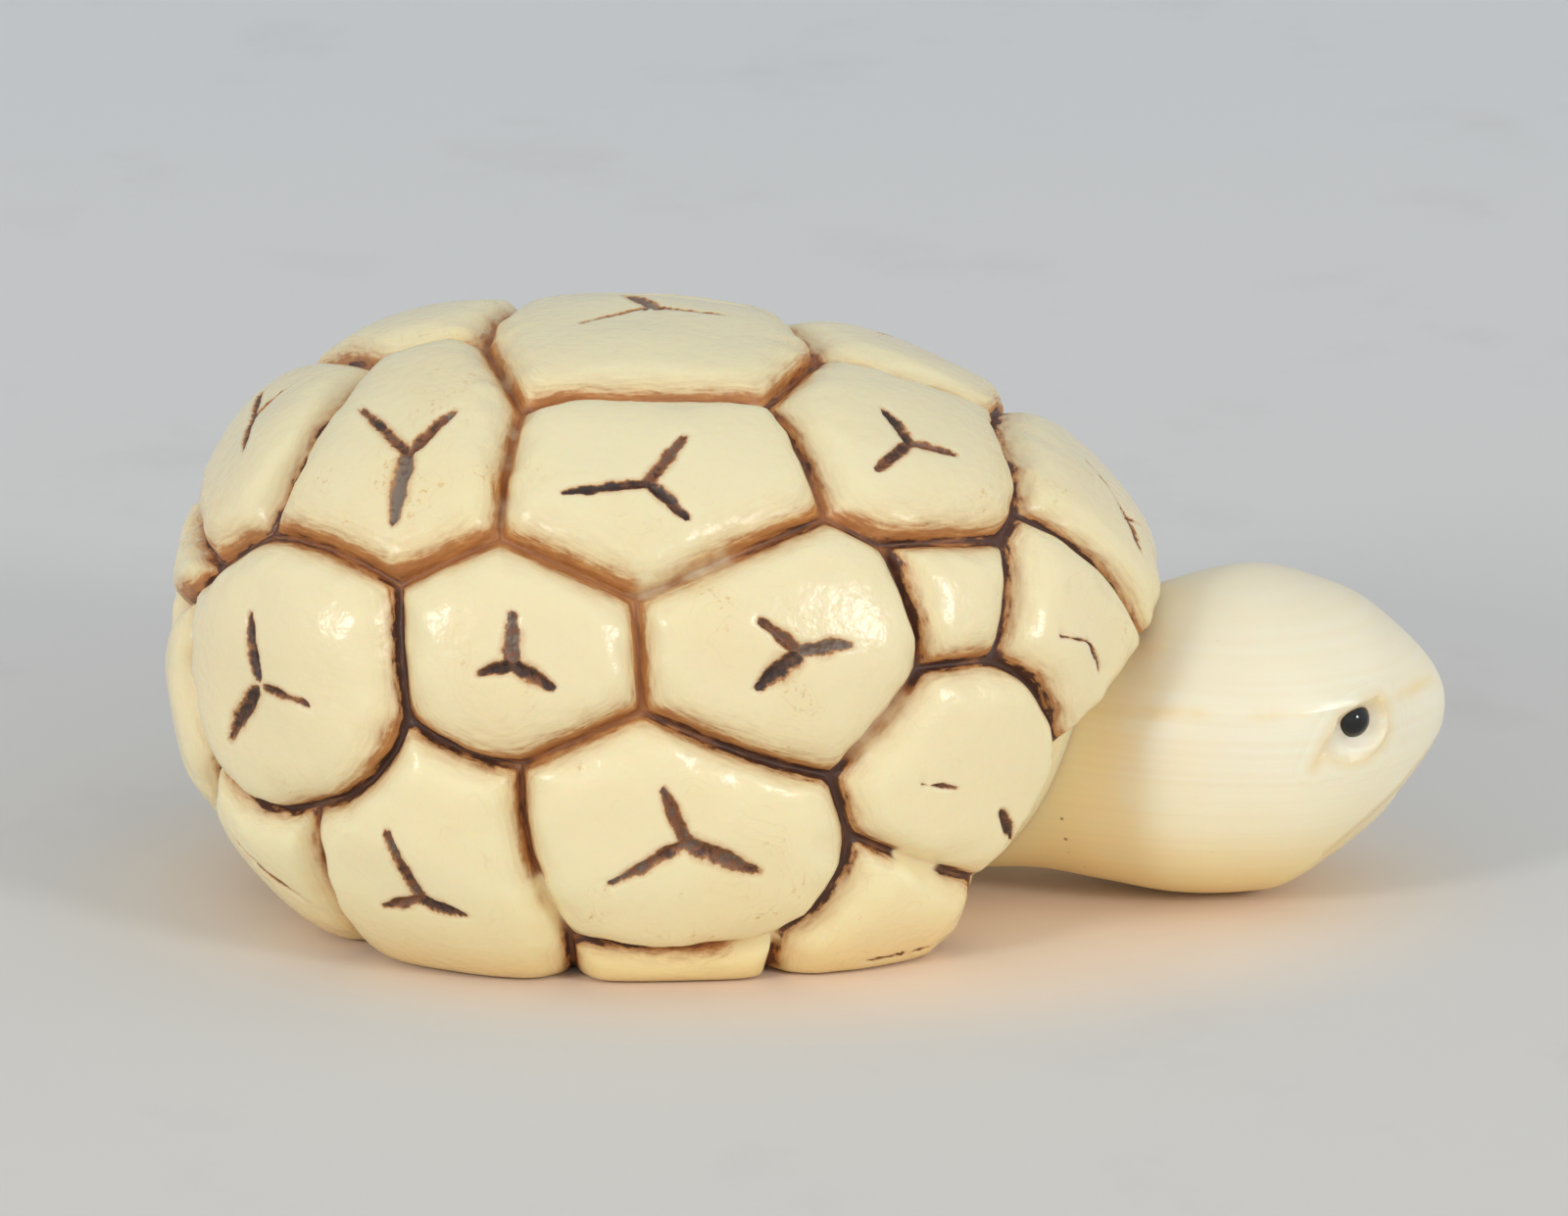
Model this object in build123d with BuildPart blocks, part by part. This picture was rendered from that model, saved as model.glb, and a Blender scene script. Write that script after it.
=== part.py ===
from build123d import *
import os
from math import cos, radians, sin

os.makedirs("parts", exist_ok=True)

# Turtle figurine, a hand-sized ornament.
# Frame: +X towards the head, +Y the turtle's left, +Z up, in millimetres.
# The origin lies in the flat resting face, under the middle of the shell.
# Angles are in degrees. Names ending in share are parts of the length they scale.

# Shell form: the waist is the level where the shell is widest
shell_length = 39.0
shell_width = 30.8
shell_height = 23.0
waist_height = 10.5
under_depth = 14.2
under_lean = 2.2
widest_share = 0.42
rear_power = 2.35
front_power = 2.05
section_power = 2.4

# Scutes, their grooves and their carved marks
midline_tolerance = 1e-6
groove_depth = 0.8
groove_width = 0.6
scute_crown = 0.4
corner_round = 1.2
corner_share = 0.3
shoulder_share = 0.5
flattest_share = 0.12
scute_root = 5.0
mark_depth = 0.35
mark_width = 0.6
mark_end_share = 0.35
cut_overrun = 1.0

# Plastron
plastron_length = 18.0
plastron_width = 10.4
plastron_thickness = 1.8
plastron_round = 0.3
panel_length = 8.0
panel_width = 5.0
cross_seam_share = 0.62
seam_depth = 0.3
seam_width = 0.5
seat_gap = 0.05

# Head and neck
head_tip = 30.4
nose_height = 8.1
head_rise = 11
head_reach = 20.6
head_diameter = 12.8
tenon_diameter = 4.0
tenon_root = 10.0
tenon_length = 6.0
tenon_height = 5.0
glue_room = 0.2
mouth_width = 0.2
mouth_depth = 0.25
mouth_corner = 25.4
mouth_corner_height = 2.6
mouth_rise = 39

# Eyes
eye_diameter = 1.5
eye_forward = 26.7
eye_height = 8.4
eye_turn = 24
eye_rise = 8
eye_proud = 0.3
eye_shank_diameter = 0.8
eye_shank_length = 1.4

# Feet and tail
foot_length = 4.2
foot_width = 3.2
limb_thickness = 1.7
limb_lift = 0.3
limb_round = 0.6
limb_margin = 0.45
claw_diameter = 0.8
claw_tip_share = 0.33
claw_length = 0.8
claw_count = 4
claw_spread = 24
front_foot_forward = 4.8
front_foot_side = 7.0
front_foot_turn = 12
rear_foot_back = 7.2
rear_foot_side = 6.2
rear_foot_turn = 152
tail_root = 11.0
tail_length = 3.4
tail_root_width = 2.2
tail_tip_width = 1.0
tail_round = 0.4

rear_length = widest_share * shell_length
front_length = shell_length - rear_length
core = Vector(rear_length - shell_length / 2, 0, waist_height)


def direction(angles):
    """Unit vector of (turn from +X towards -Y, rise), both in degrees."""
    turn, rise = radians(angles[0]), radians(angles[1])
    return Vector(cos(turn) * cos(rise), -sin(turn) * cos(rise), sin(rise))


def shell_radius(way):
    """Distance from the core to the scutes' level along a unit vector.

    The form is a superellipsoid with its own half axis each way, and a lower half that is
    deeper towards the head.
    """
    along = front_length if way.X > 0 else rear_length
    power = front_power if way.X > 0 else rear_power
    depth = shell_height - waist_height if way.Z > 0 else under_depth + under_lean * way.X
    section = abs(2 * way.Y / shell_width) ** section_power + abs(way.Z / depth) ** section_power
    return (abs(way.X / along) ** power + section ** (power / section_power)) ** (-1 / power)


# Corners where grooves meet, on the turtle's right and on its midline, as (turn, rise)
corner_angles = {
    "ridge_rear": (180, 53),
    "ridge_rear_top": (180, 70.5),
    "ridge_front_top": (0, 51),
    "ridge_front": (0, 28.7),
    "tail_top": (180, 17),
    "tail_middle": (180, 3),
    "tail_low": (180, -32),
    "brow": (0, 4),
    "back_rear": (110.5, 56.5),
    "back_front": (39, 50.5),
    "upper_rear": (105, 30.5),
    "upper_middle": (82, 21.7),
    "upper_front": (49, 29.2),
    "rump_top": (147, 23.5),
    "rump_front": (119.5, 21.8),
    "rump_side": (156.5, 16.2),
    "rump_tail": (161, 11),
    "wedge_rear": (43.3, 23.5),
    "wedge_front": (26.5, 19),
    "collar_top": (21.3, 21),
    "wedge_low_rear": (43.4, 7.4),
    "wedge_low_front": (34, 6.5),
    "collar_low": (25.7, -5.8),
    "collar_front": (11, 2),
    "flank_rear": (116, 3),
    "flank_middle": (99.5, -3),
    "flank_front": (81.5, 5.2),
    "shoulder_rear": (55, -5.7),
    "shoulder_low": (52, -14.3),
    "shoulder_tip": (32, -22),
    "hip_front": (131.5, -12.2),
    "hip_rear": (154, -10),
    "hip_base": (138, -48.8),
    "tail_base": (166, -51),
    "side_rear": (93, -33.5),
    "side_rear_base": (93, -47.2),
    "side_front": (59, -30.5),
    "side_front_base": (56, -42.3),
    "chest_tip": (28.5, -29),
    "chest_base": (31, -37.5),
}

# Grooves that bow between two corners, with the (turn, rise) of their middle
bowed_grooves = {
    ("ridge_rear", "rump_top"): (151.5, 37),
    ("back_rear", "back_front"): (72.5, 60),
    ("rump_top", "rump_front"): (133.3, 24.5),
    ("ridge_front", "collar_top"): (12.8, 26),
    ("collar_top", "collar_front"): (15.5, 13),
    ("wedge_low_front", "collar_low"): (28.5, 1.6),
    ("flank_rear", "flank_middle"): (108, -1.2),
    ("flank_front", "shoulder_rear"): (67.3, -1.6),
    ("flank_rear", "hip_front"): (121.5, -6.5),
    ("hip_front", "hip_rear"): (142.5, -14),
    ("hip_rear", "rump_tail"): (158.5, 1),
    ("hip_rear", "tail_base"): (163, -24),
    ("flank_middle", "side_rear"): (98.5, -17),
    ("side_rear", "side_front"): (74.5, -34.5),
    ("shoulder_low", "side_front"): (53, -22.5),
}

# Scutes of the right side, mirrored to the left, as rings of corners
side_scutes = [
    ("ridge_rear", "ridge_rear_top", "back_rear", "upper_rear", "rump_front", "rump_top"),
    ("back_rear", "back_front", "upper_front", "upper_middle", "upper_rear"),
    ("ridge_front_top", "ridge_front", "collar_top", "wedge_rear", "upper_front", "back_front"),
    ("rump_top", "rump_front", "flank_rear", "hip_front", "hip_rear", "rump_tail"),
    ("upper_rear", "upper_middle", "flank_front", "flank_middle", "flank_rear", "rump_front"),
    ("upper_front", "wedge_rear", "wedge_low_rear", "shoulder_rear", "flank_front", "upper_middle"),
    ("wedge_rear", "wedge_front", "wedge_low_front", "wedge_low_rear"),
    ("wedge_front", "collar_top", "collar_front", "collar_low", "wedge_low_front"),
    ("hip_rear", "hip_front", "hip_base", "tail_base"),
    ("flank_rear", "flank_middle", "side_rear_base", "hip_base", "hip_front"),
    ("flank_front", "shoulder_rear", "shoulder_low", "side_front", "side_rear", "flank_middle"),
    ("wedge_low_rear", "wedge_low_front", "collar_low", "shoulder_tip", "shoulder_low",
     "shoulder_rear"),
    ("side_rear", "side_front", "side_front_base", "side_rear_base"),
    ("shoulder_low", "shoulder_tip", "chest_tip", "chest_base", "side_front_base", "side_front"),
]

# Scutes that cross the midline, as the right half of their ring from midline to midline
middle_scutes = [
    ("ridge_rear_top", "back_rear", "back_front", "ridge_front_top"),
    ("ridge_rear", "rump_top", "rump_side", "tail_top"),
    ("ridge_front", "collar_top", "collar_front", "brow"),
    ("tail_top", "rump_side", "rump_tail", "tail_middle"),
    ("tail_middle", "rump_tail", "hip_rear", "tail_base", "tail_low"),
]


def mirrored(way):
    """The same direction on the turtle's left."""
    return Vector(way.X, -way.Y, way.Z)


def groove_corners(start, end):
    """Directions from a groove's first corner up to its last, without the last: its bow, if any."""
    bow = bowed_grooves.get((start, end)) or bowed_grooves.get((end, start))
    return [direction(corner_angles[start])] + ([direction(bow)] if bow else [])


def scute_rings():
    """All rings of corner directions, left and right ones and those across the midline."""
    rings = []
    for ring in side_scutes:
        right = []
        for start, end in zip(ring, ring[1:] + ring[:1]):
            right += groove_corners(start, end)
        rings += [right, [mirrored(way) for way in right]]
    for ring in middle_scutes:
        right = []
        for start, end in zip(ring, ring[1:]):
            right += groove_corners(start, end)
        right.append(direction(corner_angles[ring[-1]]))
        rings.append(right + [mirrored(way) for way in reversed(right) if abs(way.Y) > midline_tolerance])
    return rings


# Carved marks of the right side's scutes, as their middle and the ends of their arms
side_marks = [
    ((125.5, 41), (144.5, 45.5), (122.5, 50.5), (121.5, 30.5)),
    ((78.5, 38.5), (94, 37.5), (68.5, 46), (73, 32.5)),
    ((29.5, 34.5), (25.5, 40), (25, 30.5), (39, 33)),
    ((138.5, 5), (142, 13), (144.5, -3.5), (130.5, 4)),
    ((100, 12.5), (100.5, 19), (104.5, 11), (94.5, 9.5)),
    ((60.5, 12.5), (65, 17), (54, 12.5), (66, 8.5)),
    (),
    ((23.5, 6), (27, 7.5), (22.5, 3)),
    ((146, -22), (151, -16), (142, -27)),
    ((114.5, -23), (118, -12.5), (121, -25), (108.5, -25.5)),
    ((76, -13), (79, -5.5), (86.5, -19.5), (66, -17.5)),
    ((37, -8), (45.5, -6.5), (32, -15)),
    (),
    ((40, -32), (45, -33), (32, -30)),
]

# Marks of the scutes across the midline
middle_marks = [
    ((0, 78.5), (63, 84.5), (11, 68), (-37, 75)),
    ((180, 34), (171, 40), (189, 40), (179, 27)),
    ((0, 13), (-2, 19), (6, 9), (-6, 10)),
    (),
    ((178, -10), (177, -4), (169, -15), (187, -15)),
]


def scute_marks():
    """The marks of scute_rings, in the same order, as directions."""
    marks = []
    for mark in side_marks:
        right = [direction(angles) for angles in mark]
        marks += [right, [mirrored(way) for way in right]]
    return marks + [[direction(angles) for angles in mark] for mark in middle_marks]


def scute_solid(ring, mark):
    """One scute: a frustum between its grooves under a crowned sphere, all rounded.

    The frustum's sides point to the core, and its corners are rounded in both end planes. The
    sphere's axis is the normal of the scute's ring, and its radius is the median of those that
    would pass through each corner. The mark is cut with one wedge for each arm, widest and
    deepest in the mark's middle.
    """
    middle = sum(ring[1:], ring[0]).normalized()
    inset = []
    for way in ring:
        inwards = (middle * way.dot(middle) - way).normalized()
        inset.append((way * shell_radius(way) + inwards * groove_width / 2).normalized())
    level = [way * shell_radius(way) for way in inset]
    pairs = list(zip(level, level[1:] + level[:1]))
    slopes = [before.cross(after) for before, after in pairs]
    normal = sum(slopes[1:], slopes[0]).normalized()
    normal = normal if normal.dot(middle) > 0 else -normal
    crest = middle * (shell_radius(middle) + scute_crown)
    bends = []
    for corner in level:
        chord = corner - crest
        bends.append(chord.length ** 2 / max(-2 * chord.dot(normal), chord.length * flattest_share))
    bend = sorted(bends)[len(bends) // 2]
    sphere_middle = core + crest - normal * bend
    shortest = min((after - before).length for before, after in pairs)
    corner_radius = min(corner_round, corner_share * shortest)
    bottom, top = crest.dot(normal) - scute_root, crest.dot(normal) + cut_overrun
    ends = []
    for height in (bottom, top):
        outline = Face(Wire.make_polygon([core + way * height / way.dot(normal) for way in inset]))
        radius = corner_radius * height / crest.dot(normal)
        ends.append(outline.fillet_2d(radius, outline.vertices()))
    with BuildPart() as scute:
        loft(ends, ruled=True)
        with Locations(Plane(sphere_middle, x_dir=-normal, z_dir=normal.cross(Vector(0, 0, 1)))):
            Sphere(bend, mode=Mode.INTERSECT)
        crown = scute.faces().filter_by(GeomType.SPHERE)[0]
        fillet(crown.edges(), shoulder_share * corner_radius)
        for arm in mark[1:]:
            ConvexPolyhedron(arm_wedge(mark[0], arm, sphere_middle, bend), mode=Mode.SUBTRACT)
    return scute.part


def arm_wedge(start, end, sphere_middle, bend):
    """Corners of the wedge that cuts one arm of a mark into a scute's sphere."""
    corners = []
    across = start.cross(end).normalized()
    for way, share in ((start, 1), (end, mark_end_share)):
        offset = sphere_middle - core
        inward = way.dot(offset)
        surface = inward + (inward ** 2 - offset.dot(offset) + bend ** 2) ** 0.5
        bottom = core + way * (surface - mark_depth * share)
        top = core + way * (surface + cut_overrun)
        half = mark_width / 2 * share * (mark_depth * share + cut_overrun) / (mark_depth * share)
        corners += [bottom, top + across * half, top - across * half]
    return corners


# Outline of the head and neck from the nose to the neck's root, as shares of the head's
# reach and of its radius
head_outline_shares = [
    (0, 0),
    (0.1, 0.6),
    (0.22, 0.875),
    (0.325, 0.995),
    (0.46, 0.985),
    (0.58, 0.91),
    (0.7, 0.765),
    (0.83, 0.61),
    (1, 0.52),
]
head_axis = Vector(-cos(radians(head_rise)), 0, -sin(radians(head_rise)))
head_plane = Plane((head_tip, 0, nose_height), x_dir=head_axis, z_dir=(0, 1, 0))


def head_radius(back):
    """Radius of the head at a distance back from the nose along its axis."""
    share = back / head_reach
    for before, after in zip(head_outline_shares, head_outline_shares[1:]):
        if before[0] <= share <= after[0]:
            part = (share - before[0]) / (after[0] - before[0])
            return (before[1] + (after[1] - before[1]) * part) * head_diameter / 2


def head_body(growth):
    """The head and neck, turned about their rising axis and grown by the given gap."""
    points = [(-growth, 0)]
    for back, out in head_outline_shares[1:]:
        points.append((back * head_reach - growth * (1 - back), out * head_diameter / 2 + growth))
    with BuildPart() as body:
        with BuildSketch(head_plane):
            with BuildLine():
                Spline(points, tangents=((0, 1), (1, 0)))
                Polyline(points[-1], (head_reach, 0), points[0])
            make_face()
        revolve(axis=Axis(head_plane.origin, head_axis))
    return body.part


# Eyes: the bead's middle lies under the head's surface by what isn't proud of it
eye_place = head_plane.to_local_coords(Vector(eye_forward, 0, eye_height))
eye_side = (head_radius(eye_place.X) ** 2 - eye_place.Y ** 2) ** 0.5


def eye_plane(side):
    """Plane at an eye bead's middle, facing out of the head; side is 1 left, -1 right."""
    out = direction((-side * (90 - eye_turn), eye_rise))
    sink = eye_diameter / 2 - eye_proud
    return Plane(Vector(eye_forward, side * eye_side, eye_height) - out * sink, z_dir=out)


def eye_solid(side, growth):
    """Bead with a short shank behind it, grown by the given gap."""
    with BuildPart() as eye:
        with Locations(eye_plane(side)):
            Sphere(eye_diameter / 2 + growth)
            Cylinder(
                eye_shank_diameter / 2 + growth,
                eye_diameter / 2 + eye_shank_length + growth,
                align=(Align.CENTER, Align.CENTER, Align.MAX),
            )
    return eye.part


def foot_plane(end, side):
    """Plane of a foot's underside, its x towards the claws; end is 1 front, -1 rear."""
    forward = front_foot_forward if end > 0 else -rear_foot_back
    sideways = front_foot_side if end > 0 else rear_foot_side
    turn = radians(front_foot_turn if end > 0 else rear_foot_turn)
    ahead = (cos(turn), side * sin(turn), 0)
    return Plane((forward, side * sideways, 0), x_dir=ahead, z_dir=(0, 0, 1))


def foot_solid(plane):
    """A tucked foot: an oval pad with a rounded underside and a fan of claws."""
    middle = limb_lift + limb_thickness / 2
    with BuildPart() as foot:
        with BuildSketch(plane.offset(limb_lift)):
            Ellipse(foot_length / 2, foot_width / 2)
        extrude(amount=limb_thickness)
        fillet(foot.edges().group_by(Axis.Z)[0], limb_round)
        for i in range(claw_count):
            fan = radians((i - (claw_count - 1) / 2) * claw_spread)
            ahead, aside = foot_length / 2 * cos(fan), foot_width / 2 * sin(fan)
            root = plane.from_local_coords((ahead / 2, aside / 2, middle))
            splay = claw_length / 2 * sin(fan)
            tip = plane.from_local_coords((ahead + claw_length, aside + splay, middle))
            reach = tip - root
            with Locations(Plane(root, z_dir=reach)):
                Cone(
                    claw_diameter / 2,
                    claw_diameter / 2 * claw_tip_share,
                    reach.length,
                    align=(Align.CENTER, Align.CENTER, Align.MIN),
                )
    return foot.part


def tail_outline(margin):
    """The tail's outline seen from below, grown by a margin."""
    root, tip = -tail_root + margin, -tail_root - tail_length - margin
    with BuildLine() as outline:
        Polyline(
            (root, tail_root_width / 2 + margin),
            (tip, tail_tip_width / 2 + margin),
            (tip, -tail_tip_width / 2 - margin),
            (root, -tail_root_width / 2 - margin),
            close=True,
        )
    return outline.line


tenon_plane = Plane((tenon_root, 0, tenon_height), z_dir=(-1, 0, 0))
foot_planes = {
    "foot_front_left": foot_plane(1, 1),
    "foot_front_right": foot_plane(1, -1),
    "foot_rear_left": foot_plane(-1, 1),
    "foot_rear_right": foot_plane(-1, -1),
}

# Carapace: the core between the grooves, with every scute on it
core_corners = []
for angles in corner_angles.values():
    way = direction(angles)
    corner = core + way * (shell_radius(way) - groove_depth)
    core_corners += [corner, mirrored(corner)] if abs(way.Y) > midline_tolerance else [corner]
scutes = [scute_solid(ring, mark) for ring, mark in zip(scute_rings(), scute_marks())]

with BuildPart() as carapace:
    ConvexPolyhedron(core_corners)
    add(scutes)
    split(bisect_by=Plane.XY, keep=Keep.TOP)
    # Seat of the plastron
    with BuildSketch():
        Ellipse(plastron_length / 2 + seat_gap, plastron_width / 2 + seat_gap)
    extrude(amount=plastron_thickness, mode=Mode.SUBTRACT)
    # Recesses around the feet and the tail
    for plane in foot_planes.values():
        with BuildSketch(plane):
            with Locations((claw_length / 2, 0)):
                Ellipse((foot_length + claw_length) / 2 + limb_margin, foot_width / 2 + limb_margin)
        extrude(amount=limb_lift + limb_thickness, mode=Mode.SUBTRACT)
    with BuildSketch():
        make_face(tail_outline(limb_margin))
    extrude(amount=limb_lift + limb_thickness, mode=Mode.SUBTRACT)
    # Socket of the neck and the bore for its tenon
    add(head_body(seat_gap), mode=Mode.SUBTRACT)
    with Locations(tenon_plane):
        Cylinder(
            tenon_diameter / 2 + seat_gap,
            tenon_length + glue_room,
            align=(Align.CENTER, Align.CENTER, Align.MIN),
            mode=Mode.SUBTRACT,
        )
carapace.part.label = "carapace"
export_step(carapace.part, "parts/carapace.step")

# Plastron: a flat oval with stained seams cut around a plain middle panel
with BuildPart() as plastron:
    with BuildSketch():
        Ellipse(plastron_length / 2, plastron_width / 2)
    extrude(amount=plastron_thickness)
    fillet(plastron.edges().group_by(Axis.Z)[0], plastron_round)
    with BuildSketch():
        Rectangle(plastron_length, seam_width)
        with GridLocations(cross_seam_share * plastron_length, 0, 2, 1):
            Rectangle(seam_width, plastron_width)
        Ellipse(panel_length / 2 + seam_width, panel_width / 2 + seam_width)
        Ellipse(panel_length / 2, panel_width / 2, mode=Mode.SUBTRACT)
    extrude(amount=seam_depth, mode=Mode.SUBTRACT)
plastron.part.label = "plastron"
export_step(plastron.part, "parts/plastron.step")

# Head: one piece with the neck and the tenon that is glued into the carapace
mouth_line = Plane((mouth_corner, 0, mouth_corner_height), z_dir=(0, -1, 0))
with BuildPart() as mouth:
    with BuildSketch(mouth_line.rotated((0, -mouth_rise, 0))):
        Rectangle(head_diameter, mouth_width, align=(Align.MIN, Align.CENTER))
    extrude(amount=head_diameter / 2, both=True)
    add(head_body(-mouth_depth), mode=Mode.SUBTRACT)
with BuildPart() as head:
    add(head_body(0))
    add(mouth.part, mode=Mode.SUBTRACT)
    add(eye_solid(1, seat_gap), mode=Mode.SUBTRACT)
    add(eye_solid(-1, seat_gap), mode=Mode.SUBTRACT)
    with Locations(tenon_plane):
        Cylinder(tenon_diameter / 2, tenon_length, align=(Align.CENTER, Align.CENTER, Align.MIN))
head.part.label = "head"
export_step(head.part, "parts/head.step")

# Eyes: black beads with a shank
for name, side in (("eye_left", 1), ("eye_right", -1)):
    eye = eye_solid(side, 0)
    eye.label = name
    export_step(eye, f"parts/{name}.step")

# Feet: four tucked pads, seated on the roofs of their recesses
for name, plane in foot_planes.items():
    foot = foot_solid(plane)
    foot.label = name
    export_step(foot, f"parts/{name}.step")

# Tail: a short tapering bar, seated the same way
with BuildPart() as tail:
    with BuildSketch(Plane.XY.offset(limb_lift)):
        make_face(tail_outline(0))
    extrude(amount=limb_thickness)
    fillet(tail.edges().group_by(Axis.Z)[0], tail_round)
tail.part.label = "tail"
export_step(tail.part, "parts/tail.step")
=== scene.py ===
import bmesh
import bpy
import numpy as np
from mathutils import Matrix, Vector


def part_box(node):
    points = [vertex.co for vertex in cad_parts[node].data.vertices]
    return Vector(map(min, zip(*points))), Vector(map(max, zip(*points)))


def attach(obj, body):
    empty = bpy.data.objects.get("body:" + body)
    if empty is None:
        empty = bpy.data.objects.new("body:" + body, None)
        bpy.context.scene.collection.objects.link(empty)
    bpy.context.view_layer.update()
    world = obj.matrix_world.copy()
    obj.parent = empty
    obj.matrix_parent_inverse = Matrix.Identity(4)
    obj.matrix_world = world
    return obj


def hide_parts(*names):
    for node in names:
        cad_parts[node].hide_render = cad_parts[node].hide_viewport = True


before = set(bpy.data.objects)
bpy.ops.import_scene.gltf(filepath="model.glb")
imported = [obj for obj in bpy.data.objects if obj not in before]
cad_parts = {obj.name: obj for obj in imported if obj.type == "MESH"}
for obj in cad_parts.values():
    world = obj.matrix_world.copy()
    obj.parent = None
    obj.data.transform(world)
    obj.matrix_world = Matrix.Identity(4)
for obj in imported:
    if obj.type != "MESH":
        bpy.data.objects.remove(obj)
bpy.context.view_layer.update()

# Table and backdrop
# A pale matt-painted table that the figurine stands on, curved up behind it in one sweep, with
# faint scuffs in its paint.


def linear(hex_colour):
    """An sRGB hex colour as linear red, green, blue and alpha, by the sRGB transfer curve."""
    codes = np.array([int(hex_colour[i:i + 2], 16) / 255 for i in (1, 3, 5)])
    curve = np.where(codes <= 0.04045, codes / 12.92, ((codes + 0.055) / 1.055) ** 2.4)
    return (*curve, 1.0)


def add(material, kind, inputs=(), out=0, stops=(), **settings):
    """Add a node and give one of its outputs.

    Inputs are its sockets' values or the sockets that feed them, stops are a ramp's (place,
    colour or grey level), and settings are the node's own properties.
    """
    tree = material.node_tree
    node = tree.nodes.new(kind)
    for name, value in settings.items():
        setattr(node, name, value)
    for socket, value in dict(inputs).items():
        if isinstance(value, bpy.types.NodeSocket):
            tree.links.new(value, node.inputs[socket])
        else:
            node.inputs[socket].default_value = value
    for i, (place, tone) in enumerate(stops):
        ramp = node.color_ramp.elements
        element = ramp[i] if i < 2 else ramp.new(place)
        element.position = place
        element.color = linear(tone) if isinstance(tone, str) else (tone, tone, tone, 1)
    return node.outputs[out]


def new_material(name, finish):
    """A material whose only shader is a Principled BSDF with the given fixed inputs."""
    material = bpy.data.materials.new(name)
    material.use_nodes = True
    shader = material.node_tree.nodes["Principled BSDF"]
    for socket, value in finish.items():
        shader.inputs[socket].default_value = value
    return material, shader


def grid_faces(rows, columns, closed):
    """Faces of a grid of places, row after row; closed joins the last column to the first."""
    across = np.arange(columns if closed else columns - 1)
    row, column = np.meshgrid(np.arange(rows - 1), across, indexing="ij")
    beside = (column + 1) % columns
    corners = [row * columns + column, row * columns + beside,
               (row + 1) * columns + beside, (row + 1) * columns + column]
    return np.stack(corners, -1).reshape(-1, 4)


def mesh_piece(name, places, material, values=None, faces=None):
    """A smooth mesh from places in mm, its doubles merged and its faces turned outwards.

    Places are a grid that closes around, unless faces are given. Values are amounts at the
    places, by label, and become the mesh's attributes.
    """
    faces = grid_faces(*places.shape[:2], True) if faces is None else faces
    mesh = bpy.data.meshes.new(name)
    mesh.from_pydata((places.reshape(-1, 3) / 1000).tolist(), [], faces.tolist())
    for label, amounts in (values or {}).items():
        attribute = mesh.attributes.new(label, "FLOAT", "POINT")
        attribute.data.foreach_set("value", amounts.ravel().astype(np.float32))
    work = bmesh.new()
    work.from_mesh(mesh)
    bmesh.ops.remove_doubles(work, verts=work.verts, dist=merge_distance / 1000)
    bmesh.ops.recalc_face_normals(work, faces=work.faces)
    work.to_mesh(mesh)
    work.free()
    mesh.polygons.foreach_set("use_smooth", np.ones(len(mesh.polygons), bool))
    mesh.materials.append(material)
    piece = bpy.data.objects.new(name, mesh)
    bpy.context.scene.collection.objects.link(piece)
    return piece


merge_distance = 0.0005
table_half = 1500.0
backdrop_start, backdrop_round, backdrop_steps = 500.0, 700.0, 24

# Matt emulsion paint, rolled on: no gloss, with dull smears a centimetre or two long
paint, paint_shader = new_material("matt_painted_table", {
    "Roughness": 0.9, "Specular IOR Level": 0.2})
paint_place = add(paint, "ShaderNodeTexCoord", out=3)
paint_scuffs = add(paint, "ShaderNodeTexNoise", {
    "Vector": add(paint, "ShaderNodeMapping", {
        "Vector": paint_place, "Scale": (70.0, 60.0, 60.0)}),
    "Scale": 1.0, "Detail": 7.0, "Roughness": 0.6})
scuffed = add(paint, "ShaderNodeMapRange", {
    "Value": paint_scuffs, "From Min": 0.55, "From Max": 0.8, "To Max": 0.3})
# The paint is warmer in front than at the back
paint_distance = add(paint, "ShaderNodeMapRange", {
    "Value": add(paint, "ShaderNodeSeparateXYZ", {"Vector": paint_place}, out=1),
    "From Min": -0.06, "From Max": 0.15})
# Painted light: around the figurine the paint is tinted warm, a painted glow for the light that has
# passed through the resin
paint_around = add(paint, "ShaderNodeVectorMath", {
    0: add(paint, "ShaderNodeMapping", {
        "Vector": paint_place, "Location": (-0.18, 0.0, 0.0), "Scale": (38.0, 55.0, 1.0)})},
    out=1, operation="LENGTH")
painted_glow = add(paint, "ShaderNodeMapRange", {
    "Value": paint_around, "From Min": 0.6, "From Max": 1.15, "To Min": 0.75, "To Max": 0.0},
    interpolation_type="SMOOTHSTEP")
paint_colour = linear("#D2CFC9")
for share, tint in ((paint_distance, "#D2D3D4"), (scuffed, "#B4B2AE"), (painted_glow, "#F3DDC4")):
    paint_colour = add(paint, "ShaderNodeMix", {
        "Factor": share, 6: paint_colour, 7: linear(tint)}, out=2, data_type="RGBA")
paint.node_tree.links.new(paint_colour, paint_shader.inputs["Base Color"])


def table_profile():
    """The table from its side as (y, z) in mm: level, then a quarter circle up, then upright."""
    turns = np.linspace(0, np.pi / 2, backdrop_steps)
    bend = np.stack([backdrop_start + backdrop_round * np.sin(turns),
                     backdrop_round * (1 - np.cos(turns))], -1)
    return np.vstack([[[-table_half, 0]], bend, bend[-1:] + [[0, table_half]]])


table_places = np.array([[[x, y, z] for x in (-table_half, table_half)]
                         for y, z in table_profile()])
table = mesh_piece("table", table_places, paint, faces=grid_faces(len(table_places), 2, False))

# Carapace
# The shell of the turtle, of an ivory-like material that is carved, stained brown in the grooves
# and polished. Each scute is a pillow between grooves, with a small carved mark in it.

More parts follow.
